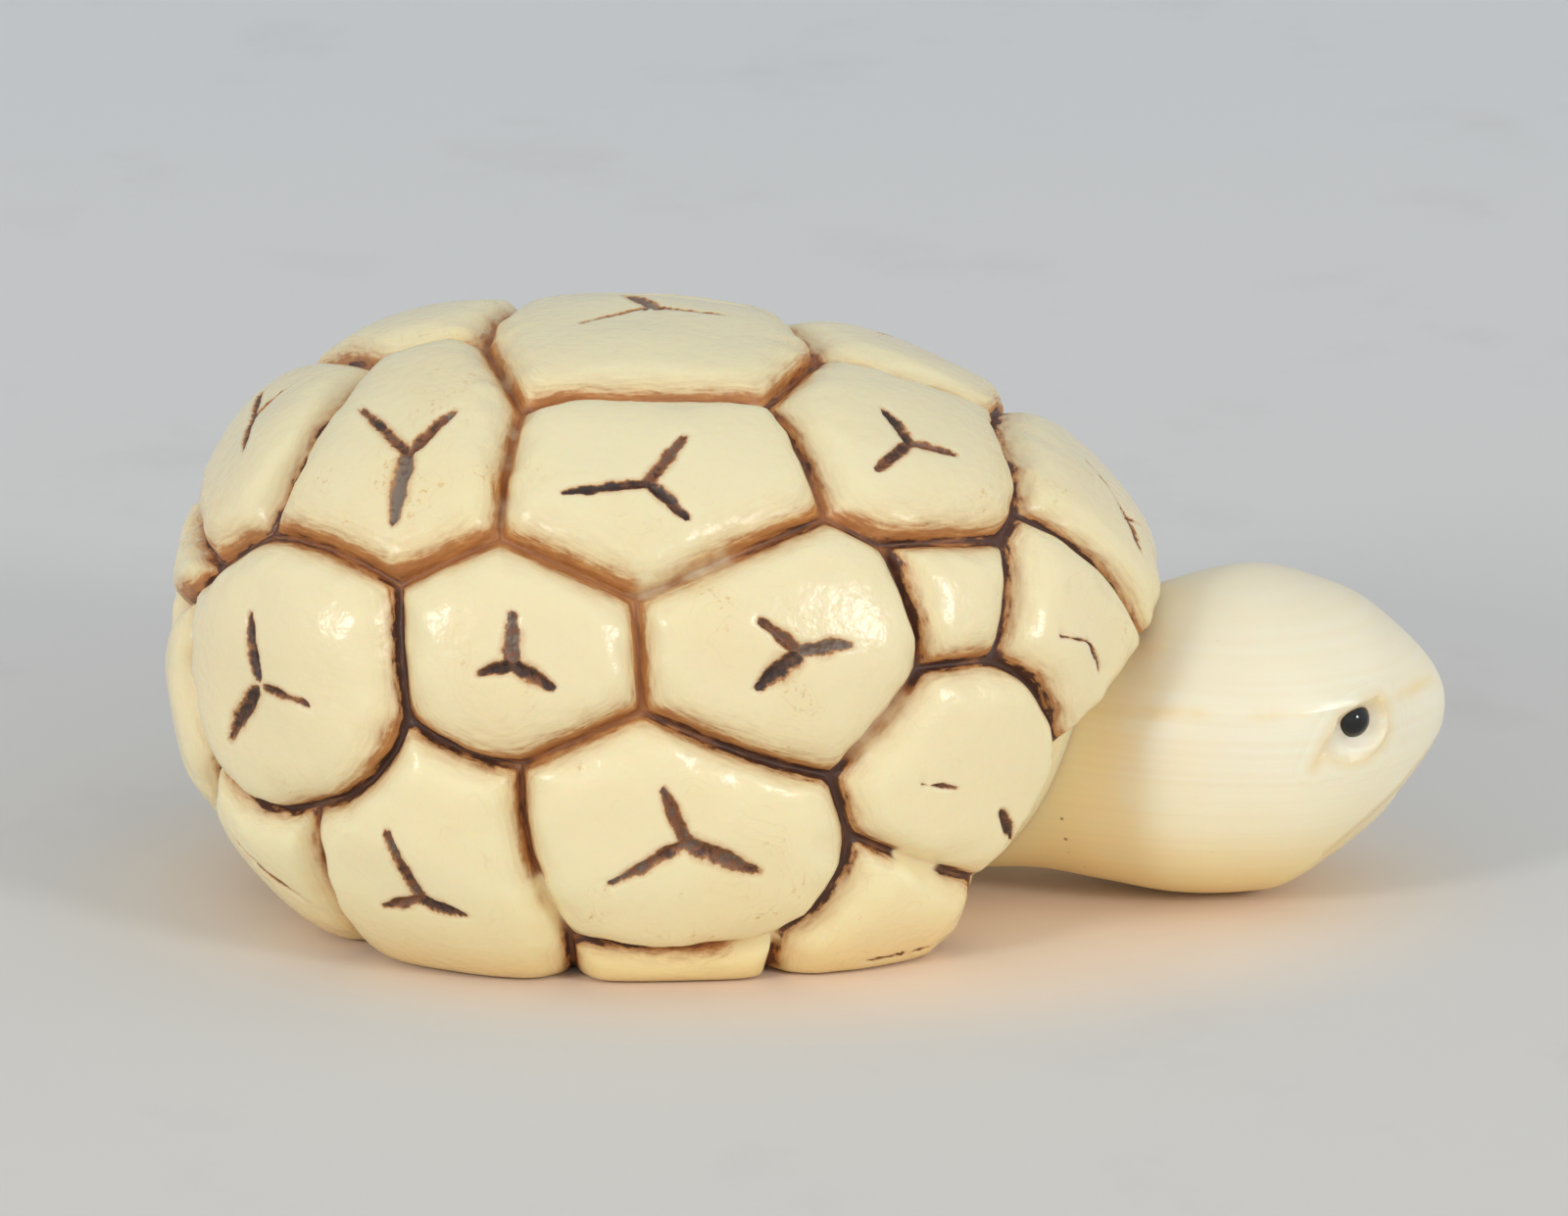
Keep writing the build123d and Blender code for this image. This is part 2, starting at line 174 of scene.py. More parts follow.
shell_length, shell_width, shell_height = 39.0, 30.8, 23.0
waist_height, under_depth, under_lean = 10.5, 14.2, 2.2
rear_power, front_power, section_power = 2.35, 2.05, 2.4
rear_length = 0.42 * shell_length
front_length = shell_length - rear_length
core = np.array([rear_length - shell_length / 2, 0, waist_height])

# Corners where grooves meet, on the right and on the midline, as (turn, rise) in degrees
corner_angles = {
    "ridge_rear": (180, 53), "ridge_rear_top": (180, 70.5), "ridge_front_top": (0, 51),
    "ridge_front": (0, 28.7), "tail_top": (180, 17), "tail_middle": (180, 3),
    "tail_low": (180, -32), "brow": (0, 4), "back_rear": (110.5, 56.5),
    "back_front": (39, 50.5), "upper_rear": (105, 30.5),
    "upper_middle": (82, 21.7), "upper_front": (49, 29.2), "rump_top": (147, 23.5),
    "rump_front": (119.5, 21.8), "rump_side": (156.5, 16.2), "rump_tail": (161, 11),
    "wedge_rear": (43.3, 23.5), "wedge_front": (26.5, 19), "collar_top": (21.3, 21),
    "wedge_low_rear": (43.4, 7.4), "wedge_low_front": (34, 6.5), "collar_low": (25.7, -5.8),
    "collar_front": (11, 2), "flank_rear": (116, 3), "flank_middle": (99.5, -3),
    "flank_front": (81.5, 5.2), "shoulder_rear": (55, -5.7), "shoulder_low": (52, -14.3),
    "shoulder_tip": (32, -22), "hip_front": (131.5, -12.2), "hip_rear": (154, -10),
    "hip_base": (138, -48.8), "tail_side": (163, -24), "tail_base": (166, -51),
    "side_rear": (93, -33.5), "side_rear_base": (93, -47.2), "side_front": (59, -30.5),
    "side_front_base": (56, -42.3), "chest_tip": (28.5, -29), "chest_base": (31, -37.5),
}

# Grooves that bow between two corners, with the (turn, rise) of their middle
bowed_grooves = {
    ("ridge_rear", "rump_top"): (151.5, 37), ("back_rear", "back_front"): (72.5, 60),
    ("rump_top", "rump_front"): (133.3, 24.5), ("ridge_front", "collar_top"): (12.8, 26),
    ("collar_top", "collar_front"): (15.5, 13), ("wedge_low_front", "collar_low"): (28.5, 1.6),
    ("flank_rear", "flank_middle"): (108, -1.2), ("flank_front", "shoulder_rear"): (67.3, -1.6),
    ("flank_rear", "hip_front"): (121.5, -6.5), ("hip_front", "hip_rear"): (142.5, -14),
    ("hip_rear", "rump_tail"): (158.5, 1), ("flank_middle", "side_rear"): (98.5, -17),
    ("side_rear", "side_front"): (74.5, -34.5), ("shoulder_low", "side_front"): (53, -22.5),
}

# Scutes of the right side: ring of corners, the middle of the mark with the share of its arms
# that is left bare there, and each arm's end with its half width in mm and how pale its stain is
side_scutes = [
    ("ridge_rear ridge_rear_top back_rear upper_rear rump_front rump_top", (125, 40.5, 0.0),
     (144.5, 45.5, 0.24, 0.35), (122.5, 50.5, 0.25, 0.55), (121.5, 30, 0.33, 0.9)),
    ("back_rear back_front upper_front upper_middle upper_rear", (78.5, 38.5, 0.02),
     (94, 37.5, 0.21, 0.15), (68.5, 46, 0.24, 0.6), (73, 32.5, 0.24, 0.05)),
    ("ridge_front_top ridge_front collar_top wedge_front wedge_rear upper_front back_front",
     (29.5, 34.5, 0.0), (25.5, 40, 0.26, 0.05), (25, 30.5, 0.22, 0.3), (39, 33, 0.23, 0.4)),
    ("rump_side rump_top rump_front flank_rear hip_front hip_rear rump_tail", (137, 5, 0.14),
     (140.5, 13.5, 0.26, 0.2), (143, -3.5, 0.33, 0.2), (129, 4, 0.2, 0.3)),
    ("upper_rear upper_middle flank_front flank_middle flank_rear rump_front", (100, 12.5, 0.0),
     (100.5, 19, 0.3, 0.75), (104.5, 11, 0.24, 0.35), (94.5, 9.5, 0.27, 0.2)),
    ("upper_front wedge_rear wedge_low_rear shoulder_rear flank_front upper_middle",
     (60.5, 12.5, 0.06), (65, 17, 0.25, 0.55), (54, 12.5, 0.26, 1.0), (66, 8.5, 0.36, 0.25)),
    ("wedge_rear wedge_front wedge_low_front wedge_low_rear",),
    ("wedge_front collar_top collar_front collar_low wedge_low_front", (23.5, 6, 0.0),
     (27, 7.5, 0.08, 0.3), (22, 2.5, 0.09, 0.4)),
    ("hip_rear hip_front hip_base tail_base tail_side", (146, -22.5, 0.0),
     (150, -19, 0.08, 0.3), (138, -29, 0.12, 0.2)),
    ("flank_rear flank_middle side_rear side_rear_base hip_base hip_front", (114.5, -23, 0.0),
     (118, -12.5, 0.25, 0.5), (121, -25, 0.24, 0.45), (108.5, -25.5, 0.26, 0.4)),
    ("flank_front shoulder_rear shoulder_low side_front side_rear flank_middle", (76, -13, 0.0),
     (79, -5.5, 0.26, 0.6), (86.5, -19.5, 0.24, 0.65), (66, -17.5, 0.34, 0.7)),
    ("wedge_low_rear wedge_low_front collar_low shoulder_tip shoulder_low shoulder_rear",
     (37, -8, 0.45), (45.5, -6.5, 0.08, 0.3), (32, -15, 0.2, 0.25)),
    ("side_rear side_front side_front_base side_rear_base",),
    ("shoulder_low shoulder_tip chest_tip chest_base side_front_base side_front", (40, -32, 0.0),
     (45, -33, 0.09, 0.25), (32, -30, 0.07, 0.3)),
]

# Scutes across the midline, as the right half of their ring, with their marks
middle_scutes = [
    ("ridge_rear_top back_rear back_front ridge_front_top", (-37, 76.4, 0.0),
     (115, 86, 0.13, 0.8), (-14, 66.5, 0.15, 0.6), (-70, 72, 0.35, 1.0)),
    ("ridge_rear rump_top rump_side tail_top", (177, 34.3, 0.0),
     (190, 35, 0.18, 0.3), (180.5, 39.5, 0.18, 0.35), (165.5, 31.5, 0.2, 0.3)),
    ("ridge_front collar_top collar_front brow", (5, 14, 0.0),
     (-1, 20, 0.08, 0.6), (8, 11, 0.2, 0.9), (-4, 8, 0.08, 0.6)),
    ("tail_top rump_side rump_tail tail_middle",),
    ("tail_middle rump_tail hip_rear tail_side tail_base tail_low",
     (173, -11, 0.0), (176, -6, 0.16, 0.2), (168, -15, 0.18, 0.2), (181, -14, 0.15, 0.2)),
]

# Not scutes: the wall that the neck comes out of, and the flat underside
neck_wall = "brow collar_front collar_low shoulder_tip chest_tip chest_base"
underside = "tail_low tail_base hip_base side_rear_base side_front_base chest_base"

# Stain left in the grooves near a (turn, rise): how dark, from brown to black, and how much of it
stain_left = [
    ((148, 38), 0.95, 0.9), ((133, 24), 0.4, 1.0), ((112, 26), 0.15, 0.9), ((107, 43), 0.1, 0.65),
    ((134, 67), 0.2, 0.65), ((175, 60), 0.35, 0.75), ((92, 58), 0.2, 0.95), ((60, 57), 0.3, 0.9),
    ((45, 42), 0.5, 0.9), ((48, 33), 0.3, 0.8), ((93, 26), 0.1, 0.85), ((73, 25), 0.1, 0.5),
    ((55, 28), 0.6, 0.9), ((10, 48), 0.4, 0.9), ((0, 40), 0.75, 0.8), ((12, 26), 0.95, 1.0),
    ((44, 17), 0.9, 0.9), ((30, 13), 0.9, 0.9), ((35, 22), 0.6, 0.85), ((39, 7), 0.8, 0.8),
    ((28, 1), 1.0, 0.95), ((15, 13), 1.0, 0.75), ((118, 12), 1.0, 1.0), ((121, -6), 0.9, 0.85),
    ((142, -14), 1.0, 1.0), ((108, -1), 0.8, 0.95), ((90, 1), 0.2, 0.9), ((82, 13), 0.2, 0.75),
    ((72, 1), 0.7, 0.8), ((60, -4), 0.95, 1.0), ((49, 1), 0.15, 0.5), ((54, -11), 1.0, 1.0),
    ((52.5, -21), 0.9, 0.6), ((57, -28), 1.0, 0.95), ((49, -15.5), 1.0, 1.0),
    ((42, -18), 0.6, 0.15), ((34, -21), 0.95, 0.8), ((100, -15), 0.35, 0.9),
    ((96, -27), 0.5, 0.3), ((86, -34.5), 0.7, 0.8),
    ((71, -34), 0.45, 0.85), ((62, -31), 0.4, 0.15), ((132, -20), 0.5, 0.6), ((158, 2), 0.5, 0.55),
    ((158, 14), 0.6, 0.95), ((160, -16), 0.85, 0.8), ((93, -42), 0.7, 0.9), ((56, -38), 0.6, 0.9),
]

# Spacing of the places along a border in mm, and the rows of a scute as shares of the way to it
border_step = 0.43
rim_rows = np.concatenate([np.linspace(0, 0.6, 16), np.linspace(0.64, 0.82, 5),
                           [0.855, 0.885, 0.91, 0.932, 0.95, 0.966, 0.98, 0.991, 1]])
underside_rows = 84
scute_crown, full_crown_reach = 0.4, 3.0
groove_depth, groove_floor, lip_width, lip_power = 0.9, 0.11, 1.8, 3.4
corner_sharpness = 3.0
wander_limits = (0.5, 1.6)
streak_shift = 40
mark_depth, mark_bottom = 0.22, 0.6
# A share of an arm's half width that counts as off the mark
no_mark = 4.0
arm_swell, arm_taper = 0.16, 0.42
neck_wall_depth, neck_wall_reach, neck_wall_power = 2.6, 1.8, 0.7
resting_round = 0.3
stain_blur, stain_fall = 1.0008, 3

# How far the stain reaches from a groove in mm, and further on a bevel that faces down: only high
# on the shell, and less beside the neck
stained_reach, stained_bevel = 0.28, 0.36
bevel_heights, neck_forward, neck_share = (5.5, 11.5), (10.0, 16.0), 0.25

# Unevenness of the carving: its size in mm or as a share, its wavelength in mm, and a seed, which
# each mark has of its own
scute_ripple, slow_wander, quick_wander = (0.03, 4.0, 4), (0.2, 6.0, 1), (0.1, 1.3, 2)
mark_wobble = (0.03, 0.9)


def direction(angles):
    """Unit vectors of (turn from +X towards -Y, rise) pairs in degrees."""
    turn, rise = np.radians(np.asarray(angles, float)).T
    return np.stack([np.cos(turn) * np.cos(rise), -np.sin(turn) * np.cos(rise), np.sin(rise)], -1)


def unit(vectors):
    """The vectors, each divided by its length."""
    return vectors / np.linalg.norm(vectors, axis=-1, keepdims=True)


def shell_radius(ways):
    """Distance from the core to the shell's form along unit vectors.

    The form is a superellipsoid with its own half axis each way: the y and z shares are added
    at the section's power, and that sum to the x share at the power of the front or rear half.
    The lower half is deeper towards the head.
    """
    x, y, z = np.moveaxis(ways, -1, 0)
    along = np.where(x > 0, front_length, rear_length)
    power = np.where(x > 0, front_power, rear_power)
    depth = np.where(z > 0, shell_height - waist_height, under_depth + under_lean * x)
    section = np.abs(2 * y / shell_width) ** section_power + np.abs(z / depth) ** section_power
    return (np.abs(x / along) ** power + section ** (power / section_power)) ** (-1 / power)


def ripple(places, size, wavelength, seed):
    """Smooth noise of a given size: a dozen plane waves of random direction and phase added up."""
    draw = np.random.default_rng(seed)
    turns = unit(draw.normal(size=(12, 3))) / (wavelength * draw.uniform(0.7, 1.4, (12, 1)))
    phases = draw.uniform(0, 2 * np.pi, 12)
    return size * np.cos(2 * np.pi * places @ turns.T + phases).sum(-1) * (2 / 12) ** 0.5


def groove_run(start, end):
    """Directions along a groove between corners: a straight arc, or a parabola through its bow."""
    ways = direction([corner_angles[start], corner_angles[end]])
    bow = bowed_grooves.get((start, end), bowed_grooves.get((end, start)))
    if bow is None:
        return ways
    shares = np.linspace(0, 1, 5)[:, None]
    middle = direction([bow])[0]
    weights = (1 - shares) * (1 - 2 * shares), 4 * shares * (1 - shares), shares * (2 * shares - 1)
    return unit(weights[0] * ways[0] + weights[1] * middle + weights[2] * ways[1])


def ring_runs(names, across):
    """The grooves around a ring of corners; across closes it over the midline in mirror image."""
    names = names.split()
    runs = [groove_run(start, end) for start, end in zip(names, names[1:] + names[:1])]
    if not across:
        return runs
    right = runs[:-1]
    left = [run[::-1] * [1, -1, 1] for run in reversed(right)]
    first, last = right[0][0], right[-1][-1]
    joined = [] if abs(last[1]) < 1e-9 else [np.array([last, last * [1, -1, 1]])]
    closing = [] if abs(first[1]) < 1e-9 else [np.array([first * [1, -1, 1], first])]
    return right + joined + left + closing


def border_samples(runs):
    """Unit vectors along the grooves of a ring, the same ones from both sides of a groove."""
    samples = []
    for run in runs:
        for start, end in zip(run, run[1:]):
            span = start * shell_radius(start) - end * shell_radius(end)
            steps = max(1, round(np.linalg.norm(span) / border_step))
            shares = np.arange(steps)[:, None] / steps
            samples.append(unit(start * (1 - shares) + end * shares))
    return np.vstack(samples)


def arc_distance(ways, start, end):
    """Angle to the arc from start to end: beside it to its plane, past it to its nearer end."""
    normal = unit(np.cross(start, end))
    beside = np.abs(np.arcsin(np.clip(ways @ normal, -1, 1)))
    level = (ways @ np.cross(normal, start) > 0) & (ways @ np.cross(end, normal) > 0)
    ends = [np.arccos(np.clip(ways @ tip, -1, 1)) for tip in (start, end)]
    return np.where(level, beside, np.minimum(*ends))


def groove_distance(ways, runs):
    """Distance in mm to the grooves around a scute, and how much the nearest lies below: -1 to 1.

    The distances to the grooves are added at a negative power, so that the sum follows the
    nearest one, and is smaller where two are near: that rounds the scute's corners.
    """
    total, below = 0, 0
    radius = shell_radius(ways)
    centre = unit(np.vstack(runs).sum(0))
    for run in runs:
        arcs = [arc_distance(ways, start, end) for start, end in zip(run, run[1:])]
        weight = np.maximum(np.min(arcs, axis=0) * radius, 1e-6) ** -corner_sharpness
        outwards = unit(np.cross(run[0], run[-1]))
        outwards = outwards if outwards @ centre < 0 else -outwards
        total = total + weight
        below = below - weight * outwards[2]
    distance = total ** (-1 / corner_sharpness)
    return np.where(distance < 1e-4, 0, distance), below / total


def mark_values(ways, mark, seed):
    """Distance to a mark's arms as a share of their half width, and how pale they are.

    An arm is a straight segment with a round end and wobbly sides. Its half width swells by a
    sine of the share along it, and tapers by the cube of that share.
    """
    places = ways * shell_radius(ways)[..., None]
    nearest, pale = np.full(ways.shape[:-1], no_mark), np.zeros(ways.shape[:-1])
    if not mark:
        return nearest, pale
    (turn, rise, bare), *arms = mark
    middle = direction([(turn, rise)])[0]
    middle = middle * shell_radius(middle)
    for i, (turn, rise, half_width, paleness) in enumerate(arms):
        end = direction([(turn, rise)])[0]
        end = end * shell_radius(end)
        start = middle + (end - middle) * bare
        arm = end - start
        share = np.clip((places - start) @ arm / (arm @ arm), 0, 1)
        apart = np.linalg.norm(places - start - share[..., None] * arm, axis=-1)
        apart = apart + ripple(places, *mark_wobble, seed + 10 * i)
        swell = 1 - arm_swell / 2 + arm_swell * np.sin(np.pi * share)
        width = half_width * swell * (1 - arm_taper * share ** 3)
        closer = apart / width < nearest
        nearest = np.where(closer, apart / width, nearest)
        pale = np.where(closer, paleness, pale)
    return np.maximum(nearest, 0), pale


def stain_values(ways):
    """How dark the stain is in each direction, and how much is left.

    They are means over the listed places, weighed by a negative power of one less the cosine of
    the angle to each, so that the nearest ones count.
    """
    places = direction([angles for angles, dark, amount in stain_left])
    tones = np.array([(dark, amount) for angles, dark, amount in stain_left])
    folded = np.stack([ways[..., 0], -np.abs(ways[..., 1]), ways[..., 2]], -1)
    weights = (stain_blur - folded @ places.T) ** -stain_fall
    return np.moveaxis((weights @ tones) / weights.sum(-1, keepdims=True), -1, 0)


def patch(runs, mark, side, kind, seed):
    """A patch as a polar grid from its middle to its border: places, and values for the stain.

    A place is the core plus, along a unit vector of the grid, the form's radius less the
    groove's cut: flat at the border, then shallower by a power of the distance from it. A scute
    adds its dome, a parabola of that distance, and its ripples, and takes off the mark's
    round-bottomed cut. The neck's wall lies deeper by a root curve of the distance. Marks are
    mirrored with their scute: side is 1 for the right, -1 for the left. The values around_x and
    around_y are places on a circle as long as the border, for streaks that run along the groove.
    """
    flip = np.array([1, side, 1])
    middle = direction([mark[0][:2]])[0] * flip if mark else unit(unit(np.vstack(runs)).sum(0))
    border = border_samples(runs)
    rows = rim_rows if kind != "underside" else np.linspace(0, 1, underside_rows)
    ways = unit(middle + (border - middle) * rows[:, None, None])
    distance, below = groove_distance(ways, runs)
    radius = shell_radius(ways)
    level = ways * radius[..., None]
    farthest = distance.max()
    wander = np.clip(1 + ripple(level, *slow_wander) + ripple(level, *quick_wander), *wander_limits)
    beyond_floor = np.maximum(distance / wander - groove_floor, 0)
    near = np.clip(1 - beyond_floor / np.minimum(lip_width, farthest), 0, 1)
    height = -groove_depth * near ** lip_power
    marked, pale = mark_values(ways * flip, mark, seed)
    if kind == "scute":
        dome = 1 - (1 - distance / farthest) ** 2
        height = height + scute_crown * dome * np.clip(farthest / full_crown_reach, 0, 1)
        height = height + ripple(level, *scute_ripple) * (1 - near)
        height = height - mark_depth * np.clip(1 - marked, 0, 1) ** mark_bottom
    if kind == "wall":
        share = np.clip(distance / neck_wall_reach, 0, 1)
        height = height - neck_wall_depth * share ** neck_wall_power
    places = core + ways * (radius + height)[..., None]
    dark, amount = stain_values(ways)
    upper = np.interp(places[..., 2], bevel_heights, (0, 1))
    beside_neck = np.interp(places[..., 0], neck_forward, (1, neck_share))
    reach = stained_reach + stained_bevel * np.clip(below, 0, 1) * upper * beside_neck
    steps = np.linalg.norm(np.roll(border, -1, axis=0) - border, axis=-1) * radius[-1]
    around = 2 * np.pi * np.cumsum(steps) / steps.sum()
    circle = steps.sum() / (2 * np.pi) * np.stack([np.cos(around), np.sin(around)])
    shifted = circle[:, None] + streak_shift * seed
    around_x, around_y = np.broadcast_to(shifted, (2, *distance.shape))
    return places, {"groove": distance, "band": distance / reach, "mark": marked, "pale": pale,
                    "dark": dark, "amount": amount, "around_x": around_x, "around_y": around_y}


def oval_distance(spots, half):
    """About the distance from spots to an oval, negative inside: share off 1 by mean radius."""
    share = np.linalg.norm(spots / half, axis=-1)
    return (share - 1) * np.linalg.norm(spots, axis=-1) / np.maximum(share, 1e-6)


def turned(spots, place, turn, side):
    """Spots seen from a foot's place, along its length and across; side is 1 left, -1 right."""
    ahead = np.array([np.cos(turn), side * np.sin(turn)])
    apart = spots - [place[0], side * place[1]]
    return np.stack([apart @ ahead, apart @ [-ahead[1], ahead[0]]], -1)


# Feet and tail in their hollows, in mm: a foot's place is (forward, sideways)
plastron_half, plastron_thickness = np.array([9.0, 5.2]), 1.8
foot_half, claw_length = np.array([2.1, 1.6]), 0.8
foot_places = {"front": ((4.8, 7.0), np.radians(12)), "rear": ((-7.2, 6.2), np.radians(152))}
tail_root, tail_length, tail_root_half, tail_tip_half = 11.0, 3.4, 1.1, 0.5
limb_lift, limb_top = 0.3, 2.0
seat_gap, hollow_margin, hollow_wall, hollow_gap = 0.05, 0.45, 0.22, 0.02


def hollows(spots):
    """How deep the underside's hollows are at spots, and how far inside an edge the spots are.

    Each hollow is flat, with a straight sloping wall: an oval for the plastron, an oval for each
    foot, and a tapering bar for the tail.
    """
    inside = [-oval_distance(spots + 1e-9, plastron_half + seat_gap)]
    for place, turn in foot_places.values():
        for side in (1, -1):
            local = turned(spots, place, turn, side) - [claw_length / 2, 0]
            half = foot_half + [claw_length / 2 + hollow_margin, hollow_margin]
            inside.append(-oval_distance(local + 1e-9, half))
    back = -spots[:, 0] - tail_root
    half_width = np.interp(back, [0, tail_length], [tail_root_half, tail_tip_half])
    aside = half_width + hollow_margin - np.abs(spots[:, 1])
    ends = np.minimum(back + hollow_margin, tail_length + hollow_margin - back)
    inside = np.array(inside + [np.minimum(ends, aside)])
    depths = np.array([plastron_thickness] + [limb_top] * (len(inside) - 1)) + hollow_gap
    return (depths[:, None] * np.clip(inside / hollow_wall, 0, 1)).max(0), inside.max(0)


patches = []
for i, (names, *mark) in enumerate(side_scutes):
    runs = ring_runs(names, False)
    patches.append((runs, mark, 1, "scute", i))
    patches.append(([run * [1, -1, 1] for run in runs], mark, -1, "scute", i))
for i, (names, *mark) in enumerate(middle_scutes):
    patches.append((ring_runs(names, True), mark, 1, "scute", i + 50))
patches.append((ring_runs(neck_wall, True), [], 1, "wall", 0))
patches.append((ring_runs(underside, True), [], 1, "underside", 0))

shell_places, shell_faces, shell_values, count = [], [], {}, 0
for runs, mark, side, kind, seed in patches:
    places, values = patch(runs, mark, side, kind, seed)
    rows, columns = places.shape[:2]
    places = places.reshape(-1, 3)
    values = {label: amounts.ravel() for label, amounts in values.items()}
    # No place is below the table: a hyperbola's branch takes the underside to its level
    places[:, 2] = (places[:, 2] + np.sqrt(places[:, 2] ** 2 + resting_round ** 2)) / 2
    if kind == "underside":
        hollow, inside = hollows(places[:, :2])
        places[:, 2] += hollow * np.clip(values["groove"] / hollow_wall, 0, 1)
        edge = np.maximum(-inside, 0)
        values["groove"] = np.minimum(values["groove"], edge)
        values["band"] = np.minimum(values["band"], edge / stained_reach)
    shell_places.append(places)
    shell_faces.append(grid_faces(rows, columns, True) + count)
    for label, amounts in values.items():
        shell_values.setdefault(label, []).append(amounts)
    count += rows * columns

# Ivory-like resin: cast, polished to a soft gloss, and translucent, so that it glows warm below;
# part of that warm glow is painted into the colour
ivory, ivory_shader = new_material("polished_ivory_resin", {
    "IOR": 1.54, "Specular IOR Level": 0.4, "Subsurface Weight": 0.6,
    "Subsurface Radius": (1.0, 0.6, 0.3), "Subsurface Scale": 0.0025})
ivory_place = add(ivory, "ShaderNodeTexCoord", out=3)
groove, band, dark, amount, marked, pale, around_x, around_y = (
    add(ivory, "ShaderNodeAttribute", out=2, attribute_name=label)
    for label in ("groove", "band", "dark", "amount", "mark", "pale", "around_x", "around_y"))
height = add(ivory, "ShaderNodeSeparateXYZ", {"Vector": ivory_place}, out=2)
# Painted light: warmer and brighter towards the bottom, duller at the top, standing in for light
# that glows through the resin and is thrown up from the table
painted_glow_body_colour = add(ivory, "ShaderNodeValToRGB", {
    "Fac": add(ivory, "ShaderNodeMapRange", {"Value": height, "From Min": 0.0, "From Max": 0.024})},
    stops=[(0.0, "#F8D496"), (0.08, "#FAE4B2"), (0.2, "#F8E8BC"), (0.45, "#F0E0B6"),
           (0.75, "#E9DCB4"), (1.0, "#E5DBB4")])
# Cloudy patches 6 mm wide, grit of the stain, 0.3 mm, and gaps in it 1.4 mm long
clouds = add(ivory, "ShaderNodeTexNoise", {
    "Vector": ivory_place, "Scale": 180.0, "Detail": 3.0})
grit = add(ivory, "ShaderNodeTexNoise", {
    "Vector": ivory_place, "Scale": 3200.0, "Detail": 5.0, "Roughness": 0.65})
gaps = add(ivory, "ShaderNodeTexNoise", {"Vector": ivory_place, "Scale": 700.0, "Detail": 3.0})
# Streaks along the groove, 1.1 mm long and 0.12 mm wide
streaks = add(ivory, "ShaderNodeTexNoise", {
    "Vector": add(ivory, "ShaderNodeCombineXYZ", {
        "X": around_x, "Y": around_y,
        "Z": add(ivory, "ShaderNodeMath", {0: groove, 1: 9.0}, operation="MULTIPLY")}),
    "Scale": 0.9, "Detail": 4.0, "Roughness": 0.6})
grit_swing, gap_swing, streak_swing = (
    add(ivory, "ShaderNodeMath", {0: noise, 1: -0.5}, operation="ADD")
    for noise in (grit, gaps, streaks))
broken = add(ivory, "ShaderNodeMath", {0: gaps, 1: clouds}, operation="ADD")
cloud_share = add(ivory, "ShaderNodeMapRange", {
    "Value": clouds, "From Min": 0.5, "From Max": 0.75, "To Max": 0.35})
# Growth rings of the scutes: faint broken lines 0.4 mm apart between groove and mark
ring_waves = add(ivory, "ShaderNodeMath", {
    0: add(ivory, "ShaderNodeMath", {
        0: add(ivory, "ShaderNodeMath", {0: clouds, 1: 8.0, 2: groove}, operation="MULTIPLY_ADD"),
        1: 15.7}, operation="MULTIPLY")}, operation="SINE")
ring_stain = add(ivory, "ShaderNodeMath", {
    0: add(ivory, "ShaderNodeMapRange", {
        "Value": ring_waves, "From Min": 0.8, "From Max": 1.0, "To Max": 0.1}),
    1: add(ivory, "ShaderNodeMapRange", {
        "Value": broken, "From Min": 1.03, "From Max": 1.15})}, operation="MULTIPLY")
# Flecks of ochre where two clouds meet
fleck_stain = add(ivory, "ShaderNodeMath", {
    0: add(ivory, "ShaderNodeMapRange", {
        "Value": grit, "From Min": 0.56, "From Max": 0.66, "To Max": 0.55}),
    1: add(ivory, "ShaderNodeMapRange", {
        "Value": broken, "From Min": 1.17, "From Max": 1.25})}, operation="MULTIPLY")
# The stained band of a groove: streaky brown, with a paler, warmer edge that fades out
ragged_band = add(ivory, "ShaderNodeMath", {
    0: streak_swing, 1: 1.4, 2: add(ivory, "ShaderNodeMath", {
        0: grit_swing, 1: 0.5, 2: band}, operation="MULTIPLY_ADD")}, operation="MULTIPLY_ADD")
band_share = add(ivory, "ShaderNodeMath", {0: ragged_band, 1: 0.25}, operation="MULTIPLY")
band_tint = add(ivory, "ShaderNodeMix", {
    "Factor": add(ivory, "ShaderNodeMapRange", {
        "Value": streaks, "From Min": 0.42, "From Max": 0.62, "To Min": 0.38, "To Max": 0.0}),
    6: add(ivory, "ShaderNodeValToRGB", {"Fac": band_share}, stops=[
        (0.0, "#B06F38"), (0.15, "#C28245"), (0.26, "#CE9552"), (0.36, "#DFB26F"),
        (0.6, "#EBCA8C"), (0.9, "#F0D6A0")]),
    7: linear("#8E552E")}, out=2, data_type="RGBA")
band_left = add(ivory, "ShaderNodeMapRange", {
    "Value": add(ivory, "ShaderNodeMath", {0: gaps, 1: amount}, operation="ADD"),
    "From Min": 0.75, "From Max": 1.15})
band_stain = add(ivory, "ShaderNodeMath", {
    0: add(ivory, "ShaderNodeValToRGB", {"Fac": band_share}, stops=[
        (0.0, 1.0), (0.2, 0.95), (0.27, 0.55), (0.38, 0.28), (0.6, 0.1), (0.9, 0.0)]),
    1: band_left}, operation="MULTIPLY")
